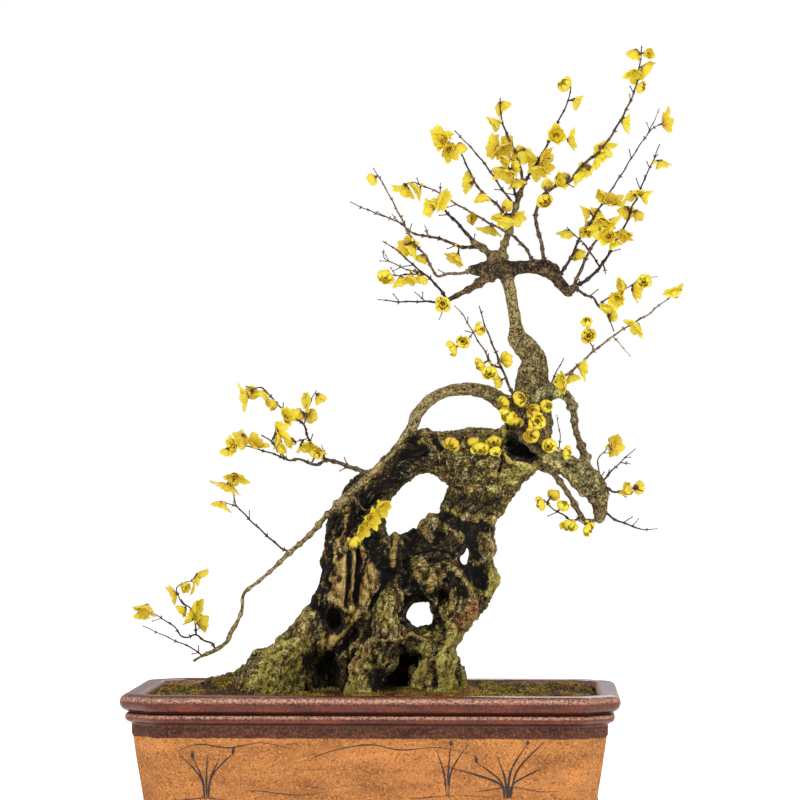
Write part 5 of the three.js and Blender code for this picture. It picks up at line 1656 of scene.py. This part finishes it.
def old_colour(fin, lit, grain):
    """Furrowed old bark with russet and ashen patches."""
    russet = fin.step(fin.clouds((12, 12, 18), detail=5.0, distortion=0.6), 0.53, 0.62, 0.0, 0.75)
    ashen = fin.step(fin.clouds((16, 16, 22), grain, detail=5.0, distortion=0.6), 0.52, 0.62, 0.0, 0.7)
    colour = fin.mix(russet, fin.ramp(lit, *BARK_STOPS["old"]), fin.ramp(lit, *BARK_STOPS["russet"]))
    return fin.mix(ashen, colour, fin.ramp(lit, *BARK_STOPS["ashen"]))


def living_colour(fin, lit):
    """Living bark from dark brown to tan with dark spots."""
    spots = fin.step(fin.specks(5.0), 0.14, 0.26, 0.85, 0.0)
    tan_bark = fin.mix(spots, fin.ramp(lit, *BARK_STOPS["tan"]), srgb(26, 19, 12))
    return fin.mix(fin.step(fin.attribute("tan"), 0.05, 0.7), fin.ramp(lit, *BARK_STOPS["brown"]), tan_bark)


def bark_finish():
    """Furrowed bark from black creases to tan crests, with bare wood, moss and lichen; the crest value
    darkens creases and hollows partly as painted shade and lightens crests partly as painted highlight.
    """
    fin = Finish("old_bark", 0.85, Specular_IOR_Level=0.25)
    grain = fin.attribute("grain", "Vector")
    streaks = fin.clouds((2.6, 2.6, 11), grain, detail=6.0, roughness=0.7, distortion=0.5)
    crumbs = fin.clouds(4.4, detail=7.0, roughness=0.74, distortion=0.6)
    flecks = fin.clouds(2.2, detail=4.0, roughness=0.7)
    crest = fin.attribute("crest")
    old = fin.attribute("old")
    ragged = fin.sum(fin.sum(crumbs, fin.clouds(24, detail=5.0)), -1.0)

    def reach(name, low=0.3, high=0.62, wear=1.0):
        return fin.step(fin.sum(fin.attribute(name), fin.times(ragged, wear)), low, high)

    def weighed(*pairs):
        total = 0.0
        for value, weight in pairs:
            total = fin.sum(fin.times(value, weight), total)
        return total

    darkness = reach("dark", 0.05, 1.0, 0.8)
    texture = weighed((crumbs, 1.05), (streaks, 0.6), (flecks, 1.05), (crest, 0.28))
    lit = fin.sum(fin.times(darkness, -0.3), fin.sum(texture, -0.98))
    bare = fin.sum(weighed((streaks, 1.5), (flecks, 0.5), (crest, 0.3), (darkness, -0.2)), -0.6)
    living = fin.sum(texture, -0.99)
    colour = fin.mix(old, living_colour(fin, living), old_colour(fin, lit, grain))
    for name, share, shows in (
        ("bare", bare, reach("bare")),
        ("red", lit, reach("red")),
        ("moss", lit, reach("moss", 0.25, 0.7, 1.8)),
        ("lichen", living, reach("lichen", 0.25, 0.7, 1.8)),
    ):
        colour = fin.mix(shows, colour, fin.ramp(share, *BARK_STOPS[name]))
    moss_flecks = weighed(
        (fin.clouds((3.6, 3.6, 6.5), grain, detail=4.0), 1.0), (fin.attribute("moss"), 0.1),
        (darkness, -0.12), (fin.clouds(21), 0.3),
    )
    moss_flecks = fin.step(moss_flecks, 0.72, 0.84, 0.0, 0.6)
    fin.colour(fin.mix(fin.times(moss_flecks, old), colour, srgb(160, 150, 58)))
    fin.relief((crumbs, 1.8), (streaks, 1.0), (flecks, 0.5))
    return fin.material


# Flowering twigs.
CUP_HEIGHT = 0.8
SHORTEST_STALK = 3
END_MARGIN = 2
BLOOM_RADIUS = 10
BLOOM_SPREAD = 3
BLOOM_SWING = 1.15
PETAL_EDGE = math.radians(62)
WOOD, PETAL, SCALE, HEART = range(4)
SLIMNESS = 0.72
PETAL_THICKNESS = 0.42
SMALL_PETAL_THICKNESS = 0.35

# Whorls of a bloom: how many petals, and their length and half width as shares of its radius.
WHORLS = ((6, 1.14, 0.54), (5, 0.9, 0.45))

# Outlines of buds: a share of the length and a share of the radius at each station.
POINTED_BUD = ((0, 0.6), (0.3, 1), (0.62, 0.8), (0.9, 0.3))
ROUND_BUD = ((0, 0.4), (0.25, 0.85), (0.5, 1), (0.75, 0.8), (0.95, 0.3))
BUD_SCALES = ((-0.1, 0.62), (0.25, 0.98), (0.62, 0.95))

# Sprays whose blooms are round cups, sprays whose blooms all face out, and the share of cups on others.
CUPPED_SPRAYS = ("front_tall", "front_knob", "trunk_top", "arm_lower", "arm_under")
FACING_SPRAYS = ("trunk_front",)
CUPPED_SHARE = 0.16


def nearest_on_twigs(twigs, target):
    """The point of the twigs nearest to a target, clear of each piece's far end."""
    best, best_gap = None, 1e9
    for _, _, route in twigs:
        route = np.array(route, float)
        for start, end in zip(route, route[1:]):
            way = end - start
            length = np.linalg.norm(way)
            share = min(max((target - start) @ way / length**2, 0), 1 - END_MARGIN / length)
            point = start + way * share
            gap = np.linalg.norm(target - point)
            if gap < best_gap:
                best, best_gap = point, gap
    return best


def petal_faces(rows, columns):
    """The faces of a thin petal: an inner face, an outer face and the rim between them."""
    count = rows * columns
    inner, edge = sheet_faces(np.arange(count).reshape(rows, columns).T)
    following = np.roll(edge, -1)
    rim = np.stack([edge, edge + count, following + count, following], axis=-1)
    return [inner, inner[:, ::-1] + count, rim]


def petal(curve, half_width, cup, thickness, turn, rows=8, columns=5, ruffle=0.0, seed=0, taper=2.8):
    """A petal along a curve of four points (out, up), turned round the bloom's axis."""
    s = np.linspace(0, 1, rows)
    weights = np.stack([(1 - s) ** 3, 3 * s * (1 - s) ** 2, 3 * s**2 * (1 - s), s**3], axis=1)
    line = weights @ np.array(curve, float)
    way = unit(np.gradient(line, axis=0))
    inward = np.stack([-way[:, 1], way[:, 0]], axis=1)
    width = np.maximum(1.45 * half_width * (0.3 + 0.9 * s) * (1 - s**taper), 0.12)[:, None]
    t = np.linspace(-1, 1, columns)[None, :]
    waves = np.sin(6.2 * s[:, None] + 2.4 * t + seed) * s[:, None]
    lift = cup * width * t**2 + ruffle * width * waves
    out, up = line[:, :1] + lift * inward[:, :1], line[:, 1:] + lift * inward[:, 1:]
    inner = np.stack([out, width * t, up], axis=-1)
    shift = np.stack([inward[:, 0], np.zeros(rows), inward[:, 1]], axis=-1)[:, None, :] * thickness
    points = np.concatenate([inner.reshape(-1, 3), (inner - shift).reshape(-1, 3)])
    cosine, sine = math.cos(turn), math.sin(turn)
    spin = np.array([[cosine, sine, 0], [-sine, cosine, 0], [0, 0, 1]])
    return points @ spin, np.tile(np.repeat(s, columns), 2)


OUTER_FACES = petal_faces(8, 5)
SMALL_FACES = petal_faces(4, 3)


def outer_petal(k, j, whorl, radius, spread, cupped, curl):
    """The curve, the half width and the form of one petal of the two whorls."""
    _, reach, width = WHORLS[whorl]
    length = radius * reach * (0.8 + 0.36 * draw(k + 1.7 * j + 0.2 + whorl))
    layer = 0.45 * (j % 2) + 0.3
    foot = (0.1 * radius, 0.02 * radius)
    up = length * (1.14 - 0.34 * spread)
    half_width = width * radius * (0.85 + 0.3 * draw(k + j))
    closing = (1.0, 0.6 if cupped else 0.84)[whorl]
    chance = draw(k + 2.9 * j + whorl)
    if cupped:
        out = length * spread * closing * (0.95 + 0.1 * chance) + layer
        lip = 0.45 + 0.35 * draw(k + 4.3 * j)
        curve = (foot, (1.15 * out, 0.0), (1.5 * out, 0.66 * up), (lip * out, up))
        return curve, half_width, {"cup": 0.5, "ruffle": 0.1, "seed": k + j, "taper": 3.8}
    out = length * spread * closing * (0.8 + 0.4 * chance) + layer
    curl = curl * (0.2 + 1.6 * draw(k + 0.9 * j)) * (1 - 0.7 * whorl)
    tip = (out * (1.0 + 0.42 * curl), (1.0 - 0.36 * curl) * up)
    curve = (foot, (0.62 * out, 0.06 * up), (0.8 * out, 0.62 * up), tip)
    return curve, half_width, {"cup": 0.42, "ruffle": 0.14, "seed": k + 2.3 * j}


def bloom(pile, base, axis, radius, spin, k, cupped, settings):
    """One wax-petalled bloom: two whorls of petals, a small heart, stamens and bud scales."""
    guide = np.array([1.0, 0, 0]) if abs(axis[2]) > 0.9 else np.array([0, 0, 1.0])
    side = unit(np.cross(guide, axis))
    to_scene = np.stack([side, np.cross(axis, side), axis])
    spread = 0.4 + 0.74 * draw(k + 0.31)
    shade = draw(k + 0.63)
    if cupped:
        radius = 0.88 * radius
        spread = 0.55 + 0.2 * draw(k + 0.31)

    def place(points):
        return base + points @ to_scene

    def small_petal(curve, half_width, cup, turn, finish, share, shade):
        sizes = (radius * np.array(curve), half_width * radius, cup, SMALL_PETAL_THICKNESS)
        points, along = petal(*sizes, turn, rows=4, columns=3)
        pile.add((place(points), SMALL_FACES), finish, share * along, shade)

    for whorl, (count, _, _) in enumerate(WHORLS):
        for j in range(count):
            turn = spin + 2 * math.pi / count * (j + 0.5 * whorl) + 0.4 * (draw(k + 3.1 * j + whorl) - 0.5)
            curve, half_width, form = outer_petal(k, j, whorl, radius, spread, cupped, settings.curl)
            points, along = petal(curve, half_width, thickness=PETAL_THICKNESS, turn=turn, **form)
            pile.add((place(points), OUTER_FACES), PETAL, along * (1 - 0.25 * whorl), shade)
    for j in range(3):
        curve = ((0.08, 0.1), (0.24, 0.14), (0.26, 0.26), (0.16, 0.3 + 0.08 * draw(k + j)))
        small_petal(curve, 0.17, 0.4, spin + 2 * math.pi * (j + 0.3) / 3, HEART, 0.6, shade)
    for j in range(3):
        turn = spin + 2 * math.pi * j / 3
        foot = np.array([0.05 * math.cos(turn), 0.05 * math.sin(turn), 0.1]) * radius
        head = np.array([0.08 * math.cos(turn), 0.08 * math.sin(turn), 0.32]) * radius
        route = place(np.stack([foot, 0.5 * (foot + head), head]))
        pile.add(rod(route, (0.35, 0.4, 0.6), 5), HEART, 0.9, shade)
    for j in range(7):
        reach = 0.15 + 0.015 * j
        curve = ((0.05, -0.12), (reach, -0.08), (reach + 0.08, 0.04), (reach + 0.1, 0.12 + 0.02 * j))
        small_petal(curve, 0.16, 0.3, spin + 2.4 * j, SCALE, 1.0, draw(k + j))


def bulb(base, way, outline, length, radius, sides):
    """A closed round part along a straight line, after an outline of lengths and radii."""
    reaches, radii = (np.array(outline) * (length, radius)).T
    return rod(base + way * reaches[:, None], radii, sides)


def bud(pile, base, way, length, half_width, shade):
    """A small pointed bud."""
    pile.add(bulb(base, way, POINTED_BUD, length, half_width, 6), SCALE, 0.5, shade)


def flower_bud(pile, base, way, size, k):
    """A round unopened bloom with brown scales at its foot."""
    pile.add(bulb(base, way, ROUND_BUD, 2.2 * size, size, 9), PETAL, 0.55, draw(k))
    pile.add(bulb(base, way, BUD_SCALES, size, size, 9), SCALE, 0.5, draw(k + 1))


def twig_nodes(length, seed):
    """Where the nodes of a twig lie along it."""
    nodes = []
    place = 5 + 6 * draw(seed)
    while place < length - 2:
        nodes.append(place)
        place += 9 + 9 * draw(seed + 1.3 * len(nodes))
    return nodes


def dressed_twig(pile, first, last, route, seed):
    """A twig with swollen nodes, paired buds and a few short spurs."""
    radii = np.linspace(first, last, len(route))
    run = smooth_run(np.column_stack([np.array(route, float), radii]), 2.2)
    points, radii = run[:, :3], run[:, 3]
    passed = passed_along(points)
    nodes = twig_nodes(passed[-1], seed)
    swell = np.full(len(points), SLIMNESS)
    for node in nodes:
        swell += (0.22 + 0.36 * draw(seed + node)) * hump((passed - node) / 1.5)
    along, width, depth = directions(points)
    sway = np.sin(passed / 4.1 + seed)[:, None] * width + np.cos(passed / 5.3 + seed)[:, None] * depth
    points = points + 0.35 * sway * ease(passed, 0, 10)[:, None]
    pile.add(rod(points, radii * swell, 8), WOOD, 0.0, draw(seed + 0.5))
    for j, node in enumerate(nodes):
        i = int(np.abs(passed - node).argmin())
        turn = math.pi / 2 * (j % 2) + 0.6 * draw(seed + j)
        for flip in (0, math.pi):
            spoke = math.cos(turn + flip) * width[i] + math.sin(turn + flip) * depth[i]
            way = unit(along[i] * 0.85 + spoke)
            base = points[i] + spoke * radii[i] * 0.8
            chance = draw(seed + 2.1 * j + flip)
            if chance < 0.13 and radii[i] > 0.9:
                length = 5 + 7 * draw(seed + 4.7 * j)
                steps = base + way * length * np.linspace(0, 1, 4)[:, None]
                pile.add(rod(steps, np.linspace(0.62, 0.5, 4) * min(radii[i], 1.3), 6), WOOD)
                bud(pile, steps[-1], way, 2.6, 0.95, chance)
            elif chance < 0.8:
                size = 0.75 + 0.45 * draw(seed + 3.3 * j + flip)
                bud(pile, base, way, 2.7 * size, 0.85 * size, chance)
    bud(pile, points[-1], along[-1], 2.4, max(radii[-1] * 1.15, 0.7), 0.4)


def turned_aside(axis, k):
    """The axis of a bloom swung up, down or aside, so that the blooms face many ways."""
    swing = np.array([2 * draw(k + 2.2) - 1, 0.7 * draw(k + 3.3), 2 * draw(k + 4.4) - 1.25])
    return unit(axis + BLOOM_SWING * swing)


def spray_pile(name, first_number, settings):
    """One spray: its twigs with their buds, and its blooms."""
    pile = Pile()
    for j, (first, last, route) in enumerate(TWIGS[name]):
        dressed_twig(pile, first, last, route, first_number + 11.7 * j)
    for j, centre in enumerate(BLOOMS[name]):
        k = first_number + j
        target = np.array(centre, float)
        root = nearest_on_twigs(TWIGS[name], target)
        reach = np.linalg.norm(target - root)
        axis = (target - root) / reach
        radius = BLOOM_RADIUS + BLOOM_SPREAD * draw(k)
        base = root + axis * max(reach - CUP_HEIGHT * radius, SHORTEST_STALK)
        is_cup = name in CUPPED_SPRAYS or draw(k + 0.91) < CUPPED_SHARE
        if not is_cup and name not in FACING_SPRAYS:
            middle = base + axis * 0.4 * radius
            axis = turned_aside(axis, k)
            base = middle - axis * 0.4 * radius
        steps = root + (base - root) * np.linspace(0, 1.02, 5)[:, None]
        pile.add(rod(steps, np.linspace(1.0, 1.5, 5), 7), WOOD)
        bloom(pile, base, axis, radius, draw(k + 0.5) * 2 * math.pi, k, is_cup, settings)
        if draw(k + 0.77) < 0.5:
            lean = np.array([draw(k + 5.1) - 0.5, draw(k + 6.3) - 0.7, draw(k + 7.9) - 0.5])
            way = unit(0.35 * axis + 1.6 * lean)
            flower_bud(pile, root + way * 1.2, way, 2.1 + 0.9 * draw(k + 8.2), k)
    return pile


def twig_finish():
    """Thin dark brown bark with pale flecks."""
    fin = Finish("twig_bark", 0.75, Specular_IOR_Level=0.3)
    shade = fin.sum(fin.clouds(3.5, detail=5.0), fin.times(fin.attribute("shade"), 0.22))
    return fin.plain(shade, ((0.42, 20, 14, 14), (0.6, 62, 45, 35), (0.8, 142, 120, 92)), 1.3, 0.35)


def petal_finish(settings):
    """Waxy translucent yellow, ochre at the base and on the older blooms."""
    fin = Finish("waxy_petal", 0.5, Subsurface_Weight=0.1, Subsurface_Scale=0.002, Specular_IOR_Level=0.35)
    fin.shader.inputs["Subsurface Radius"].default_value = (1.0, 0.75, 0.2)
    yellow = tuple(settings.petal_colour)
    deep = (0.78 * yellow[0], 0.6 * yellow[1], 0.6 * yellow[2])
    pale = (min(1.0, 1.04 * yellow[0]), min(1.0, 1.16 * yellow[1]), min(1.0, 2.4 * yellow[2]))
    blotch = fin.sum(fin.clouds(5.5, detail=2.0), -0.5)
    along = fin.sum(fin.attribute("mark"), fin.times(blotch, 1.1))
    fresh = fin.ramp(along, (0.04, deep), (0.36, yellow), (0.75, yellow), (1.0, pale))
    aged = fin.ramp(
        along, (0.0, 150, 104, 26), (0.3, 200, 156, 36), (0.75, 226, 190, 52),
        (1.0, 196, 150, 52),
    )
    old = fin.step(fin.sum(fin.attribute("shade"), blotch), 0.5, 1.2, 0.0, 0.75)
    fin.colour(fin.mix(old, fresh, aged))
    fin.relief((fin.clouds(3.5), 0.08))
    return fin.material


def heart_finish():
    """The small inner petals and stamens, a deeper yellow."""
    fin = Finish("bloom_heart", 0.5, Subsurface_Weight=0.15, Subsurface_Scale=0.002)
    along = fin.sum(fin.attribute("mark"), fin.times(fin.sum(fin.clouds(1.5), -0.5), 0.5))
    return fin.plain(along, ((0.1, 136, 84, 24), (0.45, 190, 140, 34), (0.9, 230, 200, 62)), 2.0, 0.05)


def scale_finish():
    """Papery brown bud scales."""
    fin = Finish("bud_scales", 0.7)
    stops = ((0.1, 70, 42, 24), (0.55, 128, 88, 42), (0.95, 184, 142, 62))
    return fin.plain(fin.uneven("shade", fin.clouds(1.6)), stops, 0.9, 0.2)


# The stage.
CAMERA_PLACE = (215, -4380, 454)
CAMERA_AIM = (32, 0, 519)
LENS = 157.5
SENSOR = 36
LIGHT_AIM = (40, 0, 420)
FLOOR_HALF = 30.0

# Soft lights: name, place, size in metres, share of the key light's power, and colour.
LIGHTS = (
    ("key_light", (-900, -2000, 3000), (2.6, 1.4), 1.0, (1.0, 0.98, 0.95)),
    ("fill_light", (2400, -1800, 1100), (1.8, 1.8), 0.35, (1, 1, 1)),
    ("back_light", (600, 2300, 1800), (1.6, 1.6), 0.5, (1, 1, 1)),
)


def look_from(thing, place, aim):
    """Puts a camera or a light at a place, aimed at another."""
    thing.location = to_metres(place)
    thing.rotation_euler = (Vector(to_metres(aim)) - thing.location).to_track_quat("-Z", "Y").to_euler()


def soft_light(name, place, size, power, colour):
    """A large soft light aimed at the middle of the tree."""
    data = bpy.data.lights.new(name, "AREA")
    data.shape = "RECTANGLE"
    data.size, data.size_y = size
    data.energy = power
    data.color = colour
    look_from(add_object(name, data), place, LIGHT_AIM)


def white_world(strength):
    """A white surround that lights the scene softly and shows as pure white."""
    world = bpy.data.worlds.new("white_surround")
    world.use_nodes = True
    tree = world.node_tree
    back = tree.nodes["Background"]
    back.inputs["Color"].default_value = (1, 1, 1, 1)
    ray = tree.nodes.new("ShaderNodeLightPath").outputs["Is Camera Ray"]
    seen = tree.nodes.new("ShaderNodeMapRange")
    seen.inputs["To Min"].default_value = strength
    tree.links.new(ray, seen.inputs["Value"])
    tree.links.new(seen.outputs[0], back.inputs["Strength"])
    bpy.context.scene.world = world


def floor_finish(settings):
    """A pale matte floor."""
    fin = Finish("pale_floor", 0.9, Specular_IOR_Level=0.1)
    pale = tuple(settings.floor_colour)
    warm = (pale[0], 0.99 * pale[1], 0.98 * pale[2])
    fin.colour(fin.mix(fin.clouds(400), pale, warm))
    fin.feed(fin.shader.inputs["Emission Color"], (1.0, 1.0, 1.0))
    fin.shader.inputs["Emission Strength"].default_value = settings.floor_glow
    return fin.material


# What a user may change.
class PotSettings(bpy.types.PropertyGroup):
    """Looks of the clay pot."""

    rim_colour: bpy.props.FloatVectorProperty(
        name="Rim glaze", description="Colour of the glossy glaze on the rim and foot band",
        subtype="COLOR", size=3, min=0, max=1, default=srgb(96, 42, 24),
    )
    panel_colour: bpy.props.FloatVectorProperty(
        name="Bare clay", description="Colour of the matte clay on the side panels",
        subtype="COLOR", size=3, min=0, max=1, default=srgb(180, 118, 64),
    )
    neck_height: bpy.props.FloatProperty(
        name="Neck edge", description="Height where the bare clay ends under the neck band",
        unit="LENGTH", min=0.05, max=0.14, default=0.1085,
    )
    # The dark band in the groove is painted shade.
    groove_height: bpy.props.FloatProperty(
        name="Rim groove", description="Height of the dark groove between the rim's two beads",
        unit="LENGTH", min=0.1, max=0.16, default=0.1384,
    )
    # The pale band at this height on the upper bead is a painted highlight.
    painted_highlight_height: bpy.props.FloatProperty(
        name="Rim crest", description="Height where the glaze is worn pale on the rim's upper bead",
        unit="LENGTH", min=0.1, max=0.17, default=0.1545,
    )
    rim_roughness: bpy.props.FloatProperty(
        name="Glaze roughness", description="How dull the glaze is",
        subtype="FACTOR", min=0, max=1, default=0.15,
    )


class WoodSettings(bpy.types.PropertyGroup):
    """Looks of the trunk and branches."""

    voxel: bpy.props.FloatProperty(
        name="Carving step", description="Size of the finest step in the carved wood",
        unit="LENGTH", min=0.0012, max=0.008, default=0.0019,
    )
    relief: bpy.props.FloatProperty(
        name="Bark relief", description="How deep the bark's furrows are",
        subtype="FACTOR", min=0, max=2, default=1.0,
    )


class BloomSettings(bpy.types.PropertyGroup):
    """Looks of the blooms."""

    petal_colour: bpy.props.FloatVectorProperty(
        name="Petals", description="Colour of the fresh petals",
        subtype="COLOR", size=3, min=0, max=1, default=srgb(232, 209, 51),
    )
    curl: bpy.props.FloatProperty(
        name="Curl", description="How far the petal tips curl outwards",
        subtype="FACTOR", min=0, max=1, default=0.55,
    )


class StageSettings(bpy.types.PropertyGroup):
    """The floor and the light."""

    floor_colour: bpy.props.FloatVectorProperty(
        name="Floor", description="Colour of the floor",
        subtype="COLOR", size=3, min=0, max=1, default=(0.9, 0.9, 0.9),
    )
    floor_glow: bpy.props.FloatProperty(
        name="Floor glow", description="Light the floor gives of itself, to blend with the white surround",
        min=0, max=2, default=0.62,
    )
    surround: bpy.props.FloatProperty(
        name="Surround", description="Strength of the white light from all sides",
        min=0, max=3, default=0.5,
    )
    key_power: bpy.props.FloatProperty(
        name="Key light", description="Power of the main soft light",
        subtype="POWER", unit="POWER", min=0, max=500, default=54,
    )


class BONSAI_OT_stage(bpy.types.Operator):
    """Sets the camera, the lights, the white surround and the floor."""

    bl_idname = "bonsai.stage"
    bl_label = "Stage"

    def execute(self, context):
        settings = context.scene.bonsai_stage
        data = bpy.data.cameras.new("photo_camera")
        data.lens = LENS
        data.sensor_width = SENSOR
        data.clip_end = 100
        camera = add_object("photo_camera", data)
        look_from(camera, CAMERA_PLACE, CAMERA_AIM)
        context.scene.camera = camera
        context.scene.view_settings.view_transform = "Standard"
        white_world(settings.surround)
        for name, place, size, share, colour in LIGHTS:
            soft_light(name, place, size, share * settings.key_power, colour)
        corners = [(x * FLOOR_HALF, y * FLOOR_HALF, 0) for x, y in ((-1, -1), (1, -1), (1, 1), (-1, 1))]
        mesh = bpy.data.meshes.new("floor")
        mesh.from_pydata(corners, [], [(0, 1, 2, 3)])
        mesh.materials.append(floor_finish(settings))
        floor = add_object("floor", mesh)
        return {"FINISHED"}


class BONSAI_OT_pot(bpy.types.Operator):
    """Makes the clay pot with its beads, feet and drain holes, and the drawing on its panels."""

    bl_idname = "bonsai.pot"
    bl_label = "Pot"

    def execute(self, context):
        settings = context.scene.bonsai_pot
        heights = np.linspace(-20, 2 * FLOOR_TOP, 8)
        holes = cutter("drain_shapes", [
            rod([(side * DRAIN_OFFSET, 0, height) for height in heights], DRAIN_RADIUS, 48)
            for side in (-1, 1)
        ])
        mesh = evaluated("pot_body", [pot_body()], [cut_by(holes)])
        bpy.data.objects.remove(holes)
        settle("clay_pot", mesh, [clay_finish(settings)], ["pot"])
        feet = Pile()
        for side_x in (-1, 1):
            for side_y in (-1, 1):
                feet.add(pot_foot(side_x, side_y))
        settle("pot_feet", feet.mesh("pot_feet"), [clay_finish(settings)])
        settle("pot_drawing", panel_drawing().mesh("pot_drawing"), [ink_finish()])
        return {"FINISHED"}


class BONSAI_OT_drain_meshes(bpy.types.Operator):
    """Gives the plastic drain meshes their finish."""

    bl_idname = "bonsai.drain_meshes"
    bl_label = "Drain meshes"

    def execute(self, context):
        finish = plastic_finish()
        for name in ("drain_mesh_left", "drain_mesh_right"):
            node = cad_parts[name]
            node.data.materials.clear()
            node.data.materials.append(finish)
        return {"FINISHED"}


class BONSAI_OT_soil(bpy.types.Operator):
    """Makes the mossy soil with its crumbs and its moss shoots."""

    bl_idname = "bonsai.soil"
    bl_label = "Soil and moss"

    def execute(self, context):
        ground = Pile()
        points, faces = soil_body()
        ground.add((points, faces), mark=moss_share(points[:, 0], points[:, 1]))
        soil_crumbs(ground)
        settle("mossy_soil", ground.mesh("mossy_soil"), [soil_finish(), crumb_finish()], ["soil"])
        tufts, shades = moss_tufts()
        moss = Pile()
        moss.add(tufts, mark=shades)
        settle("moss_shoots", moss.mesh("moss_shoots"), [moss_finish()])
        return {"FINISHED"}


class BONSAI_OT_wood(bpy.types.Operator):
    """Carves the hollow trunk with its limbs and living branches."""

    bl_idname = "bonsai.wood"
    bl_label = "Trunk and branches"

    def execute(self, context):
        settings = context.scene.bonsai_wood
        wood = Pile()
        for part in (carved_mass(settings), *thin_branches()):
            wood.add(part)
        mesh = wood.mesh("old_wood")
        dress_wood(mesh, settings)
        mesh = lightened(mesh, MOST_TRIANGLES)
        settle("old_wood", mesh, [bark_finish()], ["trunk"])
        return {"FINISHED"}


class BONSAI_OT_sprays(bpy.types.Operator):
    """Makes every flowering twig with its buds and blooms."""

    bl_idname = "bonsai.sprays"
    bl_label = "Flowering twigs"

    def execute(self, context):
        settings = context.scene.bonsai_bloom
        finishes = [twig_finish(), petal_finish(settings), scale_finish(), heart_finish()]
        number = 1
        for name, blooms in BLOOMS.items():
            pile = spray_pile(name, number, settings)
            number += len(blooms)
            piece = f"blossom_{name}"
            mesh = pile.mesh(piece)
            mesh.set_sharp_from_angle(angle=PETAL_EDGE)
            settle(piece, mesh, finishes, [f"spray_{name}"])
        return {"FINISHED"}


class BONSAI_PT_panel(bpy.types.Panel):
    """Builds the bonsai piece by piece."""

    bl_idname = "BONSAI_PT_panel"
    bl_label = "Wintersweet bonsai"
    bl_space_type = "VIEW_3D"
    bl_region_type = "UI"
    bl_category = "Bonsai"

    def draw(self, context):
        for operator in OPERATORS:
            self.layout.operator(operator.bl_idname)
        for name in GROUPS:
            group = getattr(context.scene, name)
            for key in group.bl_rna.properties.keys():
                if key not in ("rna_type", "name"):
                    self.layout.prop(group, key)


OPERATORS = (
    BONSAI_OT_stage, BONSAI_OT_pot, BONSAI_OT_drain_meshes,
    BONSAI_OT_soil, BONSAI_OT_wood, BONSAI_OT_sprays,
)
GROUPS = {
    "bonsai_pot": PotSettings,
    "bonsai_wood": WoodSettings,
    "bonsai_bloom": BloomSettings,
    "bonsai_stage": StageSettings,
}


def register():
    """Registers the settings, the operators and the panel."""
    for name, group in GROUPS.items():
        bpy.utils.register_class(group)
        setattr(bpy.types.Scene, name, bpy.props.PointerProperty(type=group))
    for operator in OPERATORS:
        bpy.utils.register_class(operator)
    bpy.utils.register_class(BONSAI_PT_panel)


def unregister():
    """Takes them away again."""
    bpy.utils.unregister_class(BONSAI_PT_panel)
    for operator in reversed(OPERATORS):
        bpy.utils.unregister_class(operator)
    for name, group in GROUPS.items():
        delattr(bpy.types.Scene, name)
        bpy.utils.unregister_class(group)


def main():
    """Builds everything."""
    register()
    bpy.ops.bonsai.stage()
    bpy.ops.bonsai.pot()
    bpy.ops.bonsai.drain_meshes()
    bpy.ops.bonsai.soil()
    bpy.ops.bonsai.wood()
    bpy.ops.bonsai.sprays()


if __name__ == "__main__":
    main()
